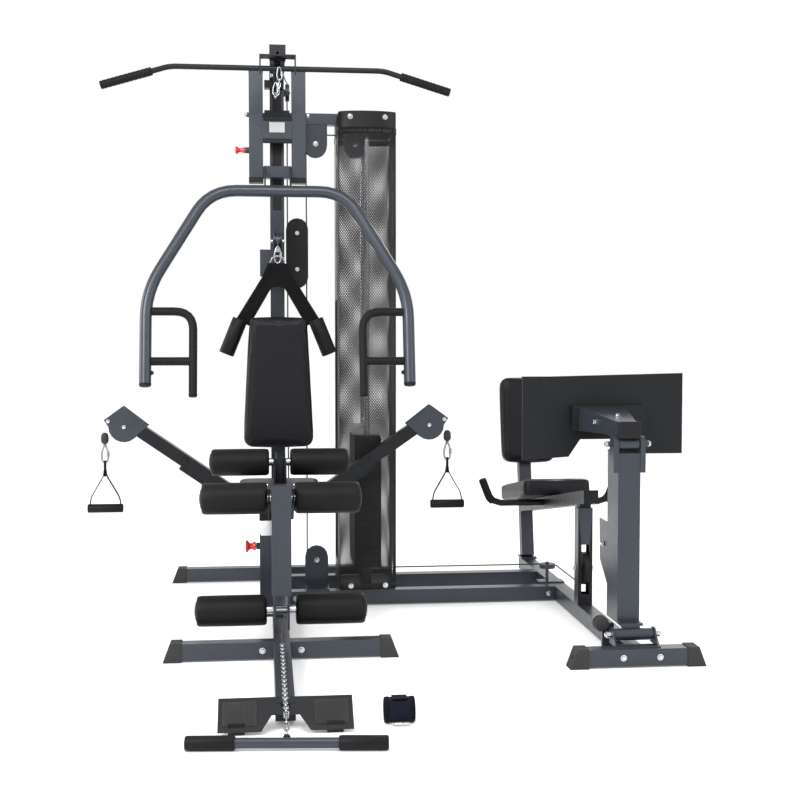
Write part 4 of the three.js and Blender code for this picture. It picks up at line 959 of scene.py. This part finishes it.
# ---------- shoulder harness ----------
HARNESS_Y = -112
web = [(-34, 1226), (34, 1226), (58, 1172), (146, 1030), (100, 1006), (56, 1082), (34, 1120), (21, 1141),
       (0, 1144), (-21, 1141), (-34, 1120), (-56, 1082), (-100, 1006), (-146, 1030), (-58, 1172)]
bm = bmesh.new()
prism(bm, "y", HARNESS_Y - 5, HARNESS_Y + 5, web)
piece("harness_web", bm, "webbing", "crunch_harness", ("crunch_harness",), bevel=3)
for name, side in (("left", -1), ("right", 1)):
    bm = bmesh.new()
    foam_grip(bm, (side * 132, HARNESS_Y, 1028), (side * 180, HARNESS_Y, 909), 26.6)
    piece("harness_grip_" + name, bm, "foam", "crunch_harness")
bm = bmesh.new()
for side in (-1, 1):
    edge = [(side * x, HARNESS_Y - 5.4, z) for x, z in ((31, 1190), (128, 1034))]
    tube(bm, edge, 0.9, 0, 6)
    edge = [(side * x, HARNESS_Y - 5.4, z) for x, z in ((40, 1124), (109, 1012))]
    tube(bm, edge, 0.9, 0, 6)
piece("harness_stitching", bm, "webbing", "crunch_harness")
bm = bmesh.new()
snap_link(bm, (0, HARNESS_Y - 2, 1284), (0, HARNESS_Y - 2, 1226), 28, 3)
tube(bm, [(-30, HARNESS_Y - 2, 1222), (-16, HARNESS_Y - 2, 1250), (16, HARNESS_Y - 2, 1250),
          (30, HARNESS_Y - 2, 1222)], 3, 12, 12, closed=True)
lathe(bm, (0, HARNESS_Y, 1262), (0, 0, 1), [(5, 0), (9, 2), (9, 14), (5, 16)], 18)
piece("harness_hook", bm, "zinc", "crunch_harness")

# ---------- stirrups on the cable arms ----------
for name, side in (("left", -1), ("right", 1)):
    body = "stirrup_" + name
    middle = side * 598
    bm = bmesh.new()
    foam_grip(bm, (middle - 59, -128, 374.4), (middle + 59, -128, 374.4), 15.2, 0)
    piece(body + "_grip", bm, "foam", body, (body,))
    bm = bmesh.new()
    for leg in (-1, 1):
        strap = fillet([(middle + leg * 3, -128, 508), (middle + leg * 5, -128, 488),
                        (middle + leg * 49, -128, 412), (middle + leg * 53, -128, 380)], 22)
        sweep(bm, strap, oval(20, 2.4, 1), (1, 0, 0))
    sweep(bm, [(middle, -128, 540), (middle, -128, 486)], oval(21, 7, 3), (1, 0, 0))
    piece(body + "_webbing", bm, "webbing", body)
    bm = bmesh.new()
    snap_link(bm, (middle, -128, 592), (middle, -128, 532), 28, 3.2)
    lathe(bm, (middle, -128, 586), (0, 0, 1), [(3, 0), (6, 1), (6, 10), (4, 12)], 16)
    piece(body + "_hook", bm, "zinc", body)
    bm = bmesh.new()
    lathe(bm, (middle, -128, 600), (0, 0, 1),
          [(4, -2), (9, 0), (13, 8), (13.2, 18), (12, 28), (8, 35), (3, 37)], 28)
    piece(body + "_stop_ball", bm, "rubber", body)

# ---------- ankle cuff ----------
CUFF_X, CUFF_Y, CUFF_Z = 283, -1452, 32
bm = bmesh.new()
wrap = []
for k in range(49):
    angle = math.radians(200 + 390 * k / 48)
    radius = 29.4 + 1.6 * k / 48
    wrap.append((CUFF_X, CUFF_Y + radius * math.cos(angle), CUFF_Z + radius * math.sin(angle)))
sweep(bm, wrap, oval(2.4, 76, 1.1), (1, 0, 0))
piece("cuff_band", bm, "navy_web", "ankle_strap", ("ankle_strap",))
bm = bmesh.new()
for dx in (-31, 31):
    edge = [(CUFF_X + dx, CUFF_Y + 32 * math.cos(t), CUFF_Z + 32 * math.sin(t))
            for t in (math.radians(60 + 200 * k / 20) for k in range(21))]
    sweep(bm, edge, oval(1.2, 9, 0.5), (1, 0, 0))
block(bm, [CUFF_X - 19, CUFF_X + 19], [CUFF_Y - 20, CUFF_Y + 16], [62.4, 65])
piece("cuff_trim", bm, "webbing", "ankle_strap", bevel=0.8)
bm = bmesh.new()
ring = [(CUFF_X + 22 * math.cos(t), CUFF_Y - 33 - 15 * max(0.0, math.sin(t)), 7 + 3.5 * math.sin(t))
        for t in (2 * math.pi * k / 24 for k in range(24))]
tube(bm, ring, 2.6, 0, 10, closed=True)
piece("cuff_ring", bm, "chrome", "ankle_strap")

# ---------- tread plates ----------
SLOPE = math.radians(40)
TREAD_DEPTH = 96


def on_tread(across, along, above):
    """A point on the sloping foot plate: along runs up it from its front edge."""
    return (across,
            -1450 - TREAD_DEPTH * math.cos(SLOPE) + along * math.cos(SLOPE) - above * math.sin(SLOPE),
            70 - TREAD_DEPTH * math.sin(SLOPE) + along * math.sin(SLOPE) + above * math.cos(SLOPE))


refined("floor_foot_plate", "black_paint", 1.6)
bm = bmesh.new()
for side in (-1, 1):
    mat = [on_tread(side * a, b, 5.3) for a, b in ((70, 14), (154, 14), (154, 84), (70, 84))]
    top = [on_tread(side * a, b, 7.4) for a, b in ((71, 15), (153, 15), (153, 83), (71, 83))]
    ring_faces(bm, [[bm.verts.new(at(*p)) for p in mat], [bm.verts.new(at(*p)) for p in top]])
    for k in range(13):
        a = side * (76 + k * 6)
        tube(bm, [on_tread(a, 18, 7.6), on_tread(a, 80, 7.6)], 1.3, 0, 6)
piece("foot_plate_treads", bm, "rubber", "frame", sharp=30)

refined("leg_press_foot_plate", "black_paint", 1.8,
        [("frame_paint", lambda p: p.y < -641 or (p.z < 665 and p.y < -760))])
bm = bmesh.new()
RIBS = 40
for k in range(RIBS):
    x = LP_X - 256 + 512 * (k + 0.5) / RIBS
    inside = abs(x - LP_X)
    low = 644 if inside < 76 else 598 + max(0, (112 - inside)) * 1.25
    high = 834 + 11 * (x - LP_X + 263) / 526
    block(bm, [x - 4.4, x + 4.4], [-599.6, -594.5], [low, high])
block(bm, [LP_X - 258, LP_X + 258], [-599.7, -597.4], [650, 836])
piece("leg_press_tread", bm, "rubber", "leg_press_foot_plate", bevel=1.4)
bm = bmesh.new()
block(bm, [LP_X - 31.5, LP_X + 33.5], [-910, -903], [662.5, 713.5])
piece("leg_press_carrier_plug", bm, "black_plastic", "leg_press_foot_plate", bevel=3)
bm = bmesh.new()
block(bm, [LP_X - 34, LP_X + 36], [-901, -783], [617, 620.5])
piece("leg_press_arm_top", bm, "black_plastic", "leg_press_arm", bevel=1)
bm = bmesh.new()
block(bm, [LP_X - 26, LP_X + 26], [579, 585], [4, 56])
block(bm, [-26, 26], [27, 32], [1884, 1936])
piece("frame_end_plugs", bm, "black_plastic", "frame", bevel=2)
bm = bmesh.new()
lathe(bm, (LP_X, -938, 82), (1, 0, 0), [(10, -74), (10, 82)], 28)
piece("leg_press_axle_bar", bm, "chrome", "frame", ("leg_press_axle",))
bm = bmesh.new()
lathe(bm, (LP_X - 80, -906, 106), (0, 1, 0), [(6, -6), (18, -3), (22.6, 4), (22.6, 30), (18, 34)], 32)
piece("leg_press_bumper", bm, "rubber", "frame")
for name, side in (("left", -1), ("right", 1)):
    bm = bmesh.new()
    tube(bm, [(LP_X + side * 218, 150, 345), (LP_X + side * 232, 150, 358),
              (LP_X + side * 258, 150, 425)], 15, 12, 24)
    lathe(bm, (LP_X + side * 258, 150, 425), (side * 0.36, 0, 0.93), [(14.8, -2), (14.4, 3), (10, 6)], 24)
    piece("leg_press_grip_" + name, bm, "foam", "frame")
